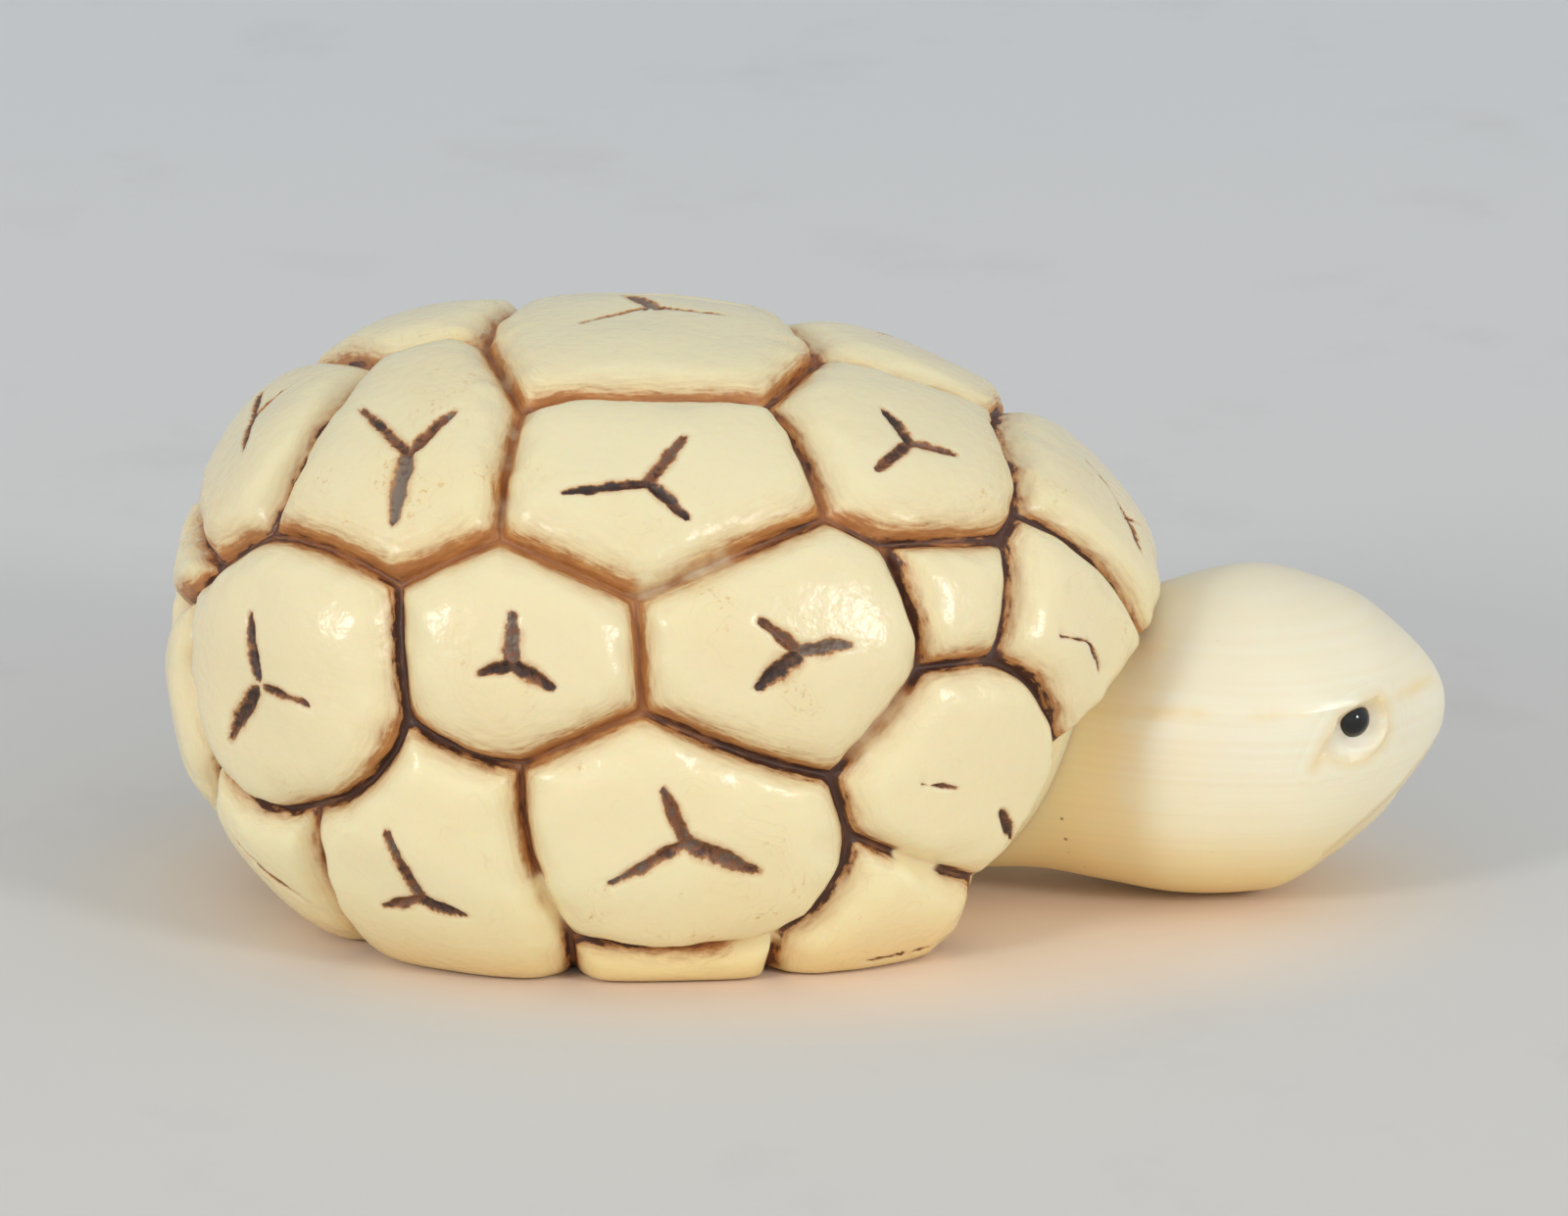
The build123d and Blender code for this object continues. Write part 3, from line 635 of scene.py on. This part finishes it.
# The thin dark line in the bottom of a groove, wider where the stain has stayed dark
ragged_line = groove
for swing, strength in ((streak_swing, 0.45), (grit_swing, 0.2), (dark, -0.1)):
    ragged_line = add(ivory, "ShaderNodeMath", {
        0: swing, 1: strength, 2: ragged_line}, operation="MULTIPLY_ADD")
line_left = add(ivory, "ShaderNodeMath", {
    0: add(ivory, "ShaderNodeMath", {0: gaps, 1: streaks, 2: dark}, operation="MULTIPLY_ADD"),
    1: amount}, operation="MULTIPLY")
line_stain = add(ivory, "ShaderNodeMath", {
    0: add(ivory, "ShaderNodeMapRange", {
        "Value": ragged_line, "From Min": 0.14, "From Max": 0.09}),
    1: add(ivory, "ShaderNodeMapRange", {
        "Value": line_left, "From Min": 0.3, "From Max": 0.55})}, operation="MULTIPLY")
line_dark = dark
for swing, strength in ((gap_swing, 1.6), (streak_swing, -2.6)):
    line_dark = add(ivory, "ShaderNodeMath", {
        0: swing, 1: strength, 2: line_dark}, operation="MULTIPLY_ADD")
line_tint = add(ivory, "ShaderNodeValToRGB", {"Fac": line_dark}, stops=[
    (0.12, "#B4723F"), (0.47, "#925B34"), (0.72, "#70462D"), (0.87, "#563424")])
# Marks: dark to grey-brown in the cut, with an orange edge
mark_share = add(ivory, "ShaderNodeMath", {
    0: add(ivory, "ShaderNodeMath", {0: grit_swing, 1: 1.2, 2: marked}, operation="MULTIPLY_ADD"),
    1: 0.4}, operation="MULTIPLY")
mark_worn = pale
for swing in (grit_swing, gap_swing):
    mark_worn = add(ivory, "ShaderNodeMath", {
        0: swing, 1: 1.8, 2: mark_worn}, operation="MULTIPLY_ADD")
mark_tint = add(ivory, "ShaderNodeMix", {
    "Factor": add(ivory, "ShaderNodeMapRange", {
        "Value": mark_share, "From Min": 0.28, "From Max": 0.42}),
    6: add(ivory, "ShaderNodeValToRGB", {"Fac": mark_worn}, stops=[
        (0.0, "#38221A"), (0.3, "#593621"), (0.55, "#8C5530"), (0.8, "#6C5343"),
        (1.0, "#847262")]),
    7: linear("#BC8045")}, out=2, data_type="RGBA")
mark_stain = add(ivory, "ShaderNodeValToRGB", {"Fac": mark_share}, stops=[
    (0.0, 1.0), (0.38, 0.97), (0.46, 0.4), (0.75, 0.0)])
ivory_colour = painted_glow_body_colour
for share, tint in ((cloud_share, linear("#E9D29A")), (ring_stain, linear("#C2AE83")),
                    (fleck_stain, linear("#CB9E52")), (band_stain, band_tint),
                    (line_stain, line_tint), (mark_stain, mark_tint)):
    ivory_colour = add(ivory, "ShaderNodeMix", {
        "Factor": share, 6: ivory_colour, 7: tint}, out=2, data_type="RGBA")
ivory.node_tree.links.new(ivory_colour, ivory_shader.inputs["Base Color"])
# The stain is duller than the polish
stained = add(ivory, "ShaderNodeMath", {0: band_stain, 1: mark_stain}, operation="MAXIMUM")
ivory.node_tree.links.new(add(ivory, "ShaderNodeMapRange", {
    "Value": stained, "To Min": 0.25, "To Max": 0.5}), ivory_shader.inputs["Roughness"])
# Polishing leaves shallow ripples, 0.5 mm across, that break up the highlights
polish = add(ivory, "ShaderNodeTexNoise", {"Vector": ivory_place, "Scale": 2000.0, "Detail": 2.0})
ivory.node_tree.links.new(add(ivory, "ShaderNodeBump", {
    "Height": polish, "Strength": 0.9, "Distance": 0.00005}), ivory_shader.inputs["Normal"])

carapace = mesh_piece("carapace_shell", np.vstack(shell_places), ivory,
                      {label: np.concatenate(parts) for label, parts in shell_values.items()},
                      np.vstack(shell_faces))
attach(carapace, "root")
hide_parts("carapace")

# Plastron
# A flat oval slab of the same material, let into the shell's underside and glued. The figurine
# stands on it. Its seams are cut and stained like the shell's grooves, its middle panel is plain.

plastron_round = 0.3
panel_half = np.array([4.0, 2.5])
seam_depth, seam_half_width, cross_seam_share = 0.25, 0.25, 0.62
seam_dark, seam_amount = 0.6, 0.8
rim_crowding = 0.8
# A distance in mm that counts as far from every carved line
far_away = 9.0


def plastron_patch(rows, columns):
    """The slab as a polar grid, from the middle of its underside over the rounded rim to its top.

    The underside is level, less a bell-shaped channel along each seam. The rim is a quarter
    circle, then upright.
    """
    turns = np.linspace(0, 2 * np.pi, columns, endpoint=False)
    circle = np.stack([np.cos(turns), np.sin(turns)], -1)
    flat = plastron_half - plastron_round
    spots = circle * np.linspace(0, 1, rows)[:, None, None] ** rim_crowding * flat
    along, aside = spots[..., 0], spots[..., 1]
    panel = np.abs(oval_distance(spots + 1e-9, panel_half + seam_half_width))
    cross = np.abs(np.abs(along) - cross_seam_share * plastron_half[0])
    middle = np.where(oval_distance(spots + 1e-9, panel_half) > 0, np.abs(aside), far_away)
    seam = np.minimum(np.minimum(panel, cross), middle)
    cut = seam_depth * np.exp(-(seam / seam_half_width) ** 2)
    under = np.concatenate([spots, cut[..., None]], -1)
    bends = np.linspace(0, np.pi / 2, 7)[1:]
    outlines = [flat + plastron_round * np.sin(bend) for bend in bends]
    outlines += [plastron_half, plastron_half * 0]
    levels = [plastron_round * (1 - np.cos(bend)) for bend in bends] + [plastron_thickness] * 2
    above = [np.concatenate([circle * half, np.full((columns, 1), level)], -1)
             for half, level in zip(outlines, levels)]
    return (np.concatenate([under, above]),
            np.concatenate([seam, np.full((len(above), columns), plastron_round)]))


plastron_places, seams = plastron_patch(rows=70, columns=240)
plastron = mesh_piece("plastron_slab", plastron_places, ivory, {
    "groove": seams, "band": seams / stained_reach, "mark": np.full(seams.size, no_mark),
    "dark": np.full(seams.size, seam_dark), "amount": np.full(seams.size, seam_amount),
    "around_x": plastron_places[..., 0], "around_y": plastron_places[..., 1]})
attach(plastron, "root")
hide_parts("plastron")

# Head and neck
# One piece, shaped smooth as an egg and glued into the shell. It has a soft brow ridge, a carved
# eyelid and a fine mouth line, and it is left satin, so the fine layers of the material show.

head_tip, nose_height, head_rise, head_reach = 30.4, 8.1, np.radians(11), 20.6
head_half = 6.4
head_outline = np.array([
    (0.1, -0.6), (0, 0), (0.1, 0.6), (0.22, 0.875), (0.325, 0.995), (0.46, 0.985),
    (0.58, 0.91), (0.7, 0.765), (0.83, 0.61), (1, 0.52), (1.1, 0.5)])
head_back = np.array([-np.cos(head_rise), 0, -np.sin(head_rise)])
head_up = np.array([-np.sin(head_rise), 0, np.cos(head_rise)])
nose = np.array([head_tip, 0, nose_height])

# Where the grid's rows and columns crowd, around the eyes: place, width and strength
row_crowds = [(0.27, 0.05, 5), (0.12, 0.08, 1)]
column_crowds = [(0.21, 0.04, 3.5), (0.79, 0.04, 3.5)]

eye_forward, eye_level, eye_aside = 26.76, 6.774, 1.5
# How much a place is lowered in the photograph by each mm that it lies to the side
view_drop = 0.3057

# Outline of the eye's socket as (forward, up) from the bead's middle, as the photograph shows it
socket_outline = np.array([
    (-1.77, -1.81), (-1.2, -0.5), (-0.81, 0.28), (-0.5, 0.5), (0.08, 0.86), (0.73, 1.13),
    (1.15, 0.48), (1.23, -0.24), (0.92, -0.88), (0.38, -1.42), (-0.23, -1.62), (-0.81, -1.53),
    (-1.3, -1.25)])
socket_depth, socket_slope, socket_slope_swing, socket_power = 0.42, 0.34, 0.16, 1.4
socket_back = np.array([-0.5, 0.87])
lower_lid_height, lower_lid_radius, lower_lid_width, lower_lid_top = 0.1, 1.05, 0.25, 0.2
upper_lid_height, upper_lid_width = 0.06, 0.5
brow_height, brow_middle, brow_half = 0.2, np.array([-0.1, 1.0]), np.array([1.0, 0.5])

# The brow ridge as (forward, above the axis), and how strong it is at (forward, share)
ridge_line = np.array([(15.0, 3.2), (18.5, 3.0), (22.4, 2.4), (26.0, 1.7), (28.0, 1.3),
                       (30.4, 0.9)])
ridge_fade = np.array([(17, 0), (21, 1), (28, 1), (30.2, 0.2)])
ridge_height, ridge_width, ridge_aside = 0.14, 0.9, 0.5

mouth_corner, mouth_corner_height, mouth_rise = 25.4, 2.6, np.radians(39)
mouth_depth, mouth_half_width, mouth_fade = 0.08, 0.09, 0.8
chin_drop, chin_forward, chin_step, chin_flat, chin_fade = 0.5, (23.5, 26.0), 0.8, 1.5, 1.5


def curve_through(points, amounts):
    """Places on a curve through points but the outer two: cubics sloped as the chords past them."""
    marks = np.concatenate([[0], np.cumsum(np.linalg.norm(np.diff(points, axis=0), axis=-1))])
    slopes = (points[2:] - points[:-2]) / (marks[2:] - marks[:-2])[:, None]
    wanted = marks[1] + amounts * (marks[-2] - marks[1])
    i = np.clip(np.searchsorted(marks, wanted, side="right") - 1, 1, len(points) - 3)
    span = (marks[i + 1] - marks[i])
    part = (wanted - marks[i]) / span
    a, b, c, d = (2 * part ** 3 - 3 * part ** 2 + 1, part ** 3 - 2 * part ** 2 + part,
                  3 * part ** 2 - 2 * part ** 3, part ** 3 - part ** 2)
    return (a[:, None] * points[i] + (b * span)[:, None] * slopes[i - 1]
            + c[:, None] * points[i + 1] + (d * span)[:, None] * slopes[i])


def uneven(count, crowds, whole):
    """Values from 0 to 1, closer together around the given (place, width, strength) crowds."""
    fine = np.linspace(0, 1, 2000)
    density = 1 + sum(strength * np.exp(-((fine - place) / width) ** 2)
                      for place, width, strength in crowds)
    total = np.cumsum(density)
    total = (total - total[0]) / (total[-1] - total[0])
    return np.interp(np.linspace(0, 1, count, endpoint=whole), total, fine)


def polygon_distance(spots, polygon):
    """Distance from spots to a closed polygon's outline, positive inside it."""
    nearest, inside = np.full(spots.shape[:-1], np.inf), np.zeros(spots.shape[:-1], bool)
    for start, end in zip(polygon, np.roll(polygon, -1, axis=0)):
        run = end - start
        share = np.clip((spots - start) @ run / (run @ run), 0, 1)
        apart = np.linalg.norm(spots - start - share[..., None] * run, axis=-1)
        nearest = np.minimum(nearest, apart)
        crosses = (start[1] > spots[..., 1]) != (end[1] > spots[..., 1])
        rise = np.where(crosses, spots[..., 1] - start[1], 0)
        inside ^= crosses & (spots[..., 0] < start[0] + rise * run[0] / (run[1] + 1e-12))
    return np.where(inside, nearest, -nearest)


def head_patch(rows, columns):
    """The head as a grid of (share along the outline, turn about the axis), with its features.

    The body is the outline turned about the rising axis. The features lift or lower it along its
    normal: the brow ridge by a tent of exponential sides, the socket by an exponential step, the
    lower lid and the brow by bells, the fold above the socket by an exponential slope, and the
    mouth by a bell-shaped groove with the chin set back below it.
    """
    amounts = uneven(rows, row_crowds, True)
    turns = 2 * np.pi * uneven(columns, column_crowds, False)
    back, out = curve_through(head_outline * [head_reach, head_half], amounts).T
    out[0] = 0
    around = np.cos(turns)[:, None] * head_up + np.sin(turns)[:, None] * np.array([0, 1, 0])
    places = nose + back[:, None, None] * head_back + out[:, None, None] * around
    slope = np.clip(np.gradient(out, back), -9, 9)
    normals = unit(around[None] - slope[:, None, None] * head_back)
    x, y, z = np.moveaxis(places, -1, 0)
    ridge_offset = (places - nose) @ head_up - np.interp(x, *ridge_line.T)
    ridge = ridge_height * np.exp(-np.abs(ridge_offset) / ridge_width)
    lift = ridge * np.interp(x, *ridge_fade.T)
    spots = np.stack([x - eye_forward, z - view_drop * np.abs(y) - eye_level], -1)
    facing = np.abs(y) > eye_aside
    inside = np.where(facing, polygon_distance(spots, socket_outline), -far_away)
    behind = unit(spots + 1e-9) @ socket_back
    steepness = np.maximum(inside, 0) / (socket_slope - socket_slope_swing * behind)
    lift = lift - socket_depth * (1 - np.exp(-steepness ** socket_power))
    ring = np.exp(-((np.linalg.norm(spots, axis=-1) - lower_lid_radius) / lower_lid_width) ** 2)
    lift = lift + lower_lid_height * ring * (spots[..., 1] < lower_lid_top) * (inside > 0)
    brow = np.exp(-(((spots - brow_middle) / brow_half) ** 2).sum(-1))
    lift = lift + brow_height * brow * facing
    fold = np.exp(-np.maximum(-inside, 0) / upper_lid_width) * (inside <= 0)
    lift = lift + upper_lid_height * fold * np.clip(behind, 0, 1)
    jaw = ((z - mouth_corner_height) * np.cos(mouth_rise)
           - (x - mouth_corner) * np.sin(mouth_rise))
    opened = np.clip((x - mouth_corner) / mouth_fade, 0, 1)
    lift = lift - mouth_depth * np.exp(-(jaw / mouth_half_width) ** 2) * opened
    under = np.clip(-jaw / chin_step, 0, 1) * np.exp(-np.maximum(-jaw - chin_flat, 0) / chin_fade)
    lift = lift - chin_drop * under * np.interp(x, chin_forward, (0, 1))
    places = places + normals * lift[..., None]
    root = np.broadcast_to(nose + head_reach * head_back, (1, columns, 3))
    features = {"ridge": np.where(np.abs(y) > ridge_aside, ridge_offset, far_away),
                "socket": inside, "carved": np.where(opened > 0, np.abs(jaw), far_away)}
    return (np.concatenate([places, root]),
            {label: np.vstack([amount, amount[-1:]]) for label, amount in features.items()})


# The same resin, rubbed satin: its layers, 0.24 mm apart, show as faint level lines
satin, satin_shader = new_material("satin_ivory_resin", {
    "IOR": 1.54, "Subsurface Weight": 0.6, "Subsurface Radius": (1.0, 0.6, 0.3),
    "Subsurface Scale": 0.003})
satin_place = add(satin, "ShaderNodeTexCoord", out=3)
ridge, socket, carved = (add(satin, "ShaderNodeAttribute", out=2, attribute_name=label)
                         for label in ("ridge", "socket", "carved"))
forward, upward = (add(satin, "ShaderNodeSeparateXYZ", {"Vector": satin_place}, out=axis)
                   for axis in (0, 2))
# Painted light: warmer and brighter towards the bottom, duller at the top, a painted glow like the
# shell's
satin_painted_glow_body = add(satin, "ShaderNodeValToRGB", {
    "Fac": add(satin, "ShaderNodeMapRange", {
        "Value": upward, "From Min": 0.0, "From Max": 0.014})},
    stops=[(0.0, "#FFD894"), (0.12, "#FBE2A8"), (0.3, "#F6EBC8"), (0.55, "#EFE8D0"),
           (1.0, "#E4DBC0")])
satin_clouds = add(satin, "ShaderNodeTexNoise", {
    "Vector": satin_place, "Scale": 330.0, "Detail": 4.0})
# Near the shell the neck turns bright orange: partly stain, partly a painted glow of light through
# the resin, made bright against the shell's shade
neck_stain_and_painted_glow = add(satin, "ShaderNodeMapRange", {
    "Value": add(satin, "ShaderNodeMath", {0: satin_clouds, 1: 0.008, 2: forward},
                 operation="MULTIPLY_ADD"),
    "From Min": 0.0185, "From Max": 0.0255, "To Min": 0.75, "To Max": 0.0},
    interpolation_type="SMOOTHSTEP")
layers = add(satin, "ShaderNodeTexNoise", {
    "Vector": add(satin, "ShaderNodeMapping", {
        "Vector": satin_place, "Rotation": (0.0, 0.06, 0.0), "Scale": (60.0, 60.0, 4200.0)}),
    "Scale": 1.0, "Detail": 2.0})
layer_stain = add(satin, "ShaderNodeMapRange", {
    "Value": layers, "From Min": 0.62, "From Max": 0.36, "To Max": 0.12})
# Ochre that has stayed along the brow ridge, in broken smears, and in the carved lines
ridge_stain = add(satin, "ShaderNodeMath", {
    0: add(satin, "ShaderNodeMapRange", {
        "Value": add(satin, "ShaderNodeMath", {0: ridge}, operation="ABSOLUTE"),
        "From Min": 0.35, "From Max": 0.05, "To Max": 0.4}),
    1: add(satin, "ShaderNodeMapRange", {
        "Value": satin_clouds, "From Min": 0.46, "From Max": 0.62})}, operation="MULTIPLY")
socket_stain = add(satin, "ShaderNodeValToRGB", {
    "Fac": add(satin, "ShaderNodeMath", {0: socket}, operation="ABSOLUTE")},
    stops=[(0.0, 0.42), (0.08, 0.26), (0.4, 0.0)])
carved_stain = add(satin, "ShaderNodeValToRGB", {"Fac": carved},
                   stops=[(0.0, 0.4), (0.1, 0.24), (0.3, 0.0)])
# Specks of stain in pores 0.15 mm wide, a millimetre or so apart, most of them at the neck
pores = add(satin, "ShaderNodeTexVoronoi", {"Vector": satin_place, "Scale": 1000.0})
speck_stain = add(satin, "ShaderNodeMath", {
    0: add(satin, "ShaderNodeMapRange", {
        "Value": pores, "From Min": 0.1, "From Max": 0.06, "To Max": 0.75}),
    1: add(satin, "ShaderNodeMapRange", {
        "Value": add(satin, "ShaderNodeMath", {0: neck_stain_and_painted_glow, 1: 0.3, 2: satin_clouds},
                     operation="MULTIPLY_ADD"),
        "From Min": 0.6, "From Max": 0.66})}, operation="MULTIPLY")
satin_colour = satin_painted_glow_body
for share, tint in ((neck_stain_and_painted_glow, "#FFDC9C"), (layer_stain, "#E2CB92"), (ridge_stain, "#EAC464"),
                    (socket_stain, "#E6BC62"), (carved_stain, "#D9A95C"),
                    (speck_stain, "#8A5A33")):
    satin_colour = add(satin, "ShaderNodeMix", {
        "Factor": share, 6: satin_colour, 7: linear(tint)}, out=2, data_type="RGBA")
satin.node_tree.links.new(satin_colour, satin_shader.inputs["Base Color"])
# The brow, 0.7 mm outside the eye's socket, has been polished up again
brow_polish = add(satin, "ShaderNodeMath", {
    0: add(satin, "ShaderNodeMath", {0: socket, 1: 0.7}, operation="ADD")}, operation="ABSOLUTE")
satin.node_tree.links.new(add(satin, "ShaderNodeMapRange", {
    "Value": brow_polish, "From Min": 0.1, "From Max": 0.8, "To Min": 0.27, "To Max": 0.42}),
    satin_shader.inputs["Roughness"])

head_places, head_values = head_patch(rows=250, columns=300)
head = mesh_piece("head_and_neck", head_places, satin, head_values)
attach(head, "root")
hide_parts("head")

# Feet
# Four tucked feet of the satin resin, each glued into its hollow in the underside. The pad is
# rounded below, and four claws reach out of it in a fan, with creases between the toes.

limb_round, claw_fan, claw_width = 0.6, np.radians([-36, -12, 12, 36]), np.radians(9)
claw_half_height, toe_crease = 0.4, 0.12
crease_from, crease_over = 0.45, 0.3
# The stain of a crease or ring ends this far from it, in mm
carved_edge = 0.3


def foot_patch(place, turn, side, rows, columns):
    """A foot as a polar grid, from the middle of its underside over the rounded rim to its top.

    A claw draws the rim outwards by a bell curve of the turn about the pad times one of the
    height. The creases between them are cut into the underside by a narrow bell of the turn.
    """
    turns = np.linspace(-np.pi, np.pi, columns, endpoint=False)
    shares, bends = np.linspace(0, 1, rows), np.linspace(0, np.pi / 2, 6)[1:]
    flat = foot_half - limb_round
    wall = np.linspace(limb_lift + limb_round, limb_top, 9)[1:]
    halves = np.concatenate([shares[:, None] * flat, flat + limb_round * np.sin(bends)[:, None],
                             np.tile(foot_half, (len(wall), 1)), [[0, 0]]])
    levels = np.concatenate([np.full(rows, limb_lift),
                             limb_lift + limb_round * (1 - np.cos(bends)), wall, [limb_top]])
    spots = halves[:, None] * np.stack([np.cos(turns), np.sin(turns)], -1)
    bells = np.exp(-((turns - claw_fan[:, None]) / claw_width) ** 2)
    middle = (limb_lift + limb_top) / 2
    drawn = claw_length * np.exp(-((levels - middle) / claw_half_height) ** 2)
    fan = np.stack([bells.sum(0), np.sin(claw_fan) @ bells / 2], -1)
    spots = spots + drawn[:, None, None] * fan
    between_toes = np.abs(turns - (claw_fan[1:] + claw_fan[:-1])[:, None] / 2).min(0)
    outer = np.clip((halves[:, 0] / flat[0] - crease_from) / crease_over, 0, 1)
    outer = outer * (levels < limb_lift + limb_round)
    crease = toe_crease * np.exp(-(between_toes / (claw_width / 3)) ** 2) * outer[:, None]
    ahead = np.array([np.cos(turn), side * np.sin(turn)])
    level_places = [place[0], side * place[1]] + spots @ np.array([ahead, [-ahead[1], ahead[0]]])
    return np.concatenate([level_places, (levels[:, None] + crease)[..., None]], -1), crease


for end, (place, turn) in foot_places.items():
    for side_name, side in (("left", 1), ("right", -1)):
        foot_grid, creases = foot_patch(place, turn, side, rows=14, columns=240)
        far = np.full(creases.size, far_away)
        foot = mesh_piece(f"foot_{end}_{side_name}_pad", foot_grid, satin, {
            "ridge": far, "socket": -far, "carved": carved_edge * (1 - creases / toe_crease)})
        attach(foot, "root")
        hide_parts(f"foot_{end}_{side_name}")

# Tail
# A short tapering bar of the satin resin with shallow rings cut around it, glued into its hollow
# under the rump.

ring_pitch, ring_depth, ring_power, bar_roundness, end_power = 0.68, 0.1, 12, 0.55, 12


def tail_patch(rows, columns):
    """The tail as rings along it: a tapering bar of rounded square section with rounded ends.

    Each ring's section is a superellipse, narrowed in the cuts by a power of a cosine along it.
    """
    shares = np.linspace(0, 1, rows)
    ends = np.sqrt(1 - np.abs(2 * shares - 1) ** end_power)
    waves = np.abs(np.cos(np.pi * tail_length * shares / ring_pitch))
    cuts = 1 - ring_depth * waves ** ring_power
    turns = np.linspace(0, 2 * np.pi, columns, endpoint=False)
    aside, upright = (np.sign(wave) * np.abs(wave) ** bar_roundness
                      for wave in (np.cos(turns), np.sin(turns)))
    half_width = np.interp(shares, [0, 1], [tail_root_half, tail_tip_half]) * ends * cuts
    half_height = (limb_top - limb_lift) / 2 * ends * cuts
    along = np.broadcast_to(-(tail_root + tail_length * shares)[:, None], (rows, columns))
    upwards = (limb_top + limb_lift) / 2 + half_height[:, None] * upright
    grid = np.stack([along, half_width[:, None] * aside, upwards], -1)
    return grid, np.broadcast_to(cuts[:, None], (rows, columns))


tail_places, tail_cuts = tail_patch(rows=120, columns=64)
far = np.full(tail_cuts.size, far_away)
tail = mesh_piece("tail_bar", tail_places, satin, {
    "ridge": far, "socket": -far,
    "carved": carved_edge * (tail_cuts - 1 + ring_depth) / ring_depth})
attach(tail, "root")
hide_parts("tail")

# Eyes
# Two black beads, polished like glass, each with a short shank that is glued into the head; only
# the ball of each bead is drawn.

bead_half, bead_turn, bead_rise = 0.75, 66.0, 8.0

# Black resin, polished like glass: near black, with small mirror-sharp highlights
bead, _ = new_material("polished_black_bead", {
    "Base Color": linear("#0B0A0A"), "Roughness": 0.06, "IOR": 1.55})


def bead_patch(middle, out, rows, columns):
    """A ball of the bead's radius about its middle, as (rise, turn) about the way it faces."""
    rises = np.linspace(0, np.pi, rows)[:, None, None]
    turns = np.linspace(0, 2 * np.pi, columns, endpoint=False)[:, None]
    side = unit(np.cross(out, [0, 0, 1]))
    ring = np.cos(turns) * side + np.sin(turns) * np.cross(side, out)
    return middle + bead_half * (np.cos(rises) * out + np.sin(rises) * ring)


for name, side in (("eye_left", 1), ("eye_right", -1)):
    low, high = (np.array(corner) * 1000 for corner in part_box(name))
    out = direction([(-side * bead_turn, bead_rise)])[0]
    tip = high[1] if side > 0 else low[1]
    middle = np.array([high[0] - bead_half, tip - side * bead_half, (low[2] + high[2]) / 2])
    bead_places = bead_patch(middle, out, rows=33, columns=48)
    eye = mesh_piece(name + "_bead", bead_places, bead)
    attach(eye, "root")
    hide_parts(name)

# Camera and lamps
# The photograph is taken level with the turtle's right side and 17 degrees above the floor, with
# a long lens. Two soft lamps stand in front of the table, one to each side.

camera_target = np.array([4.45, 0, 11.5])
camera_turn, camera_rise, camera_distance, camera_lens = 90.0, 17.0, 450.0, 263.25
camera_reach = 20000.0


def place_towards(thing, place, target):
    """Stand a lamp or the camera at a place in mm, its -Z axis turned towards a target."""
    away = unit(np.asarray(place, float) - target)
    side = unit(np.cross([0, 0, 1], away))
    matrix = np.eye(4)
    matrix[:3, :3] = np.stack([side, np.cross(away, side), away], -1)
    matrix[:3, 3] = np.asarray(place) / 1000
    thing.matrix_world = Matrix(matrix.tolist())
    bpy.context.scene.collection.objects.link(thing)


camera = bpy.data.objects.new("camera", bpy.data.cameras.new("camera"))
camera.data.lens = camera_lens
camera.data.clip_end = camera_reach / 1000
camera_way = direction([(camera_turn, camera_rise)])[0]
place_towards(camera, camera_target + camera_distance * camera_way, camera_target)
bpy.context.scene.camera = camera

lamp_distance, lamp_rise, lamp_size, lamp_power = 860.0, 23.0, 160.0, 1.95
for name, turn in (("lamp_left", 135.0), ("lamp_right", 45.0)):
    light = bpy.data.lights.new(name, "AREA")
    light.size = lamp_size / 1000
    light.energy = lamp_power
    place = camera_target + lamp_distance * direction([(turn, lamp_rise)])[0]
    place_towards(bpy.data.objects.new(name, light), place, camera_target)

# The light of the room is a little cooler than the lamps'
room_colour, room_strength = (0.94, 0.97, 1.0, 1), 0.76
world = bpy.data.worlds.new("studio")
world.use_nodes = True
world.node_tree.nodes["Background"].inputs["Color"].default_value = room_colour
world.node_tree.nodes["Background"].inputs["Strength"].default_value = room_strength
bpy.context.scene.world = world
bpy.context.scene.view_settings.view_transform = "Standard"
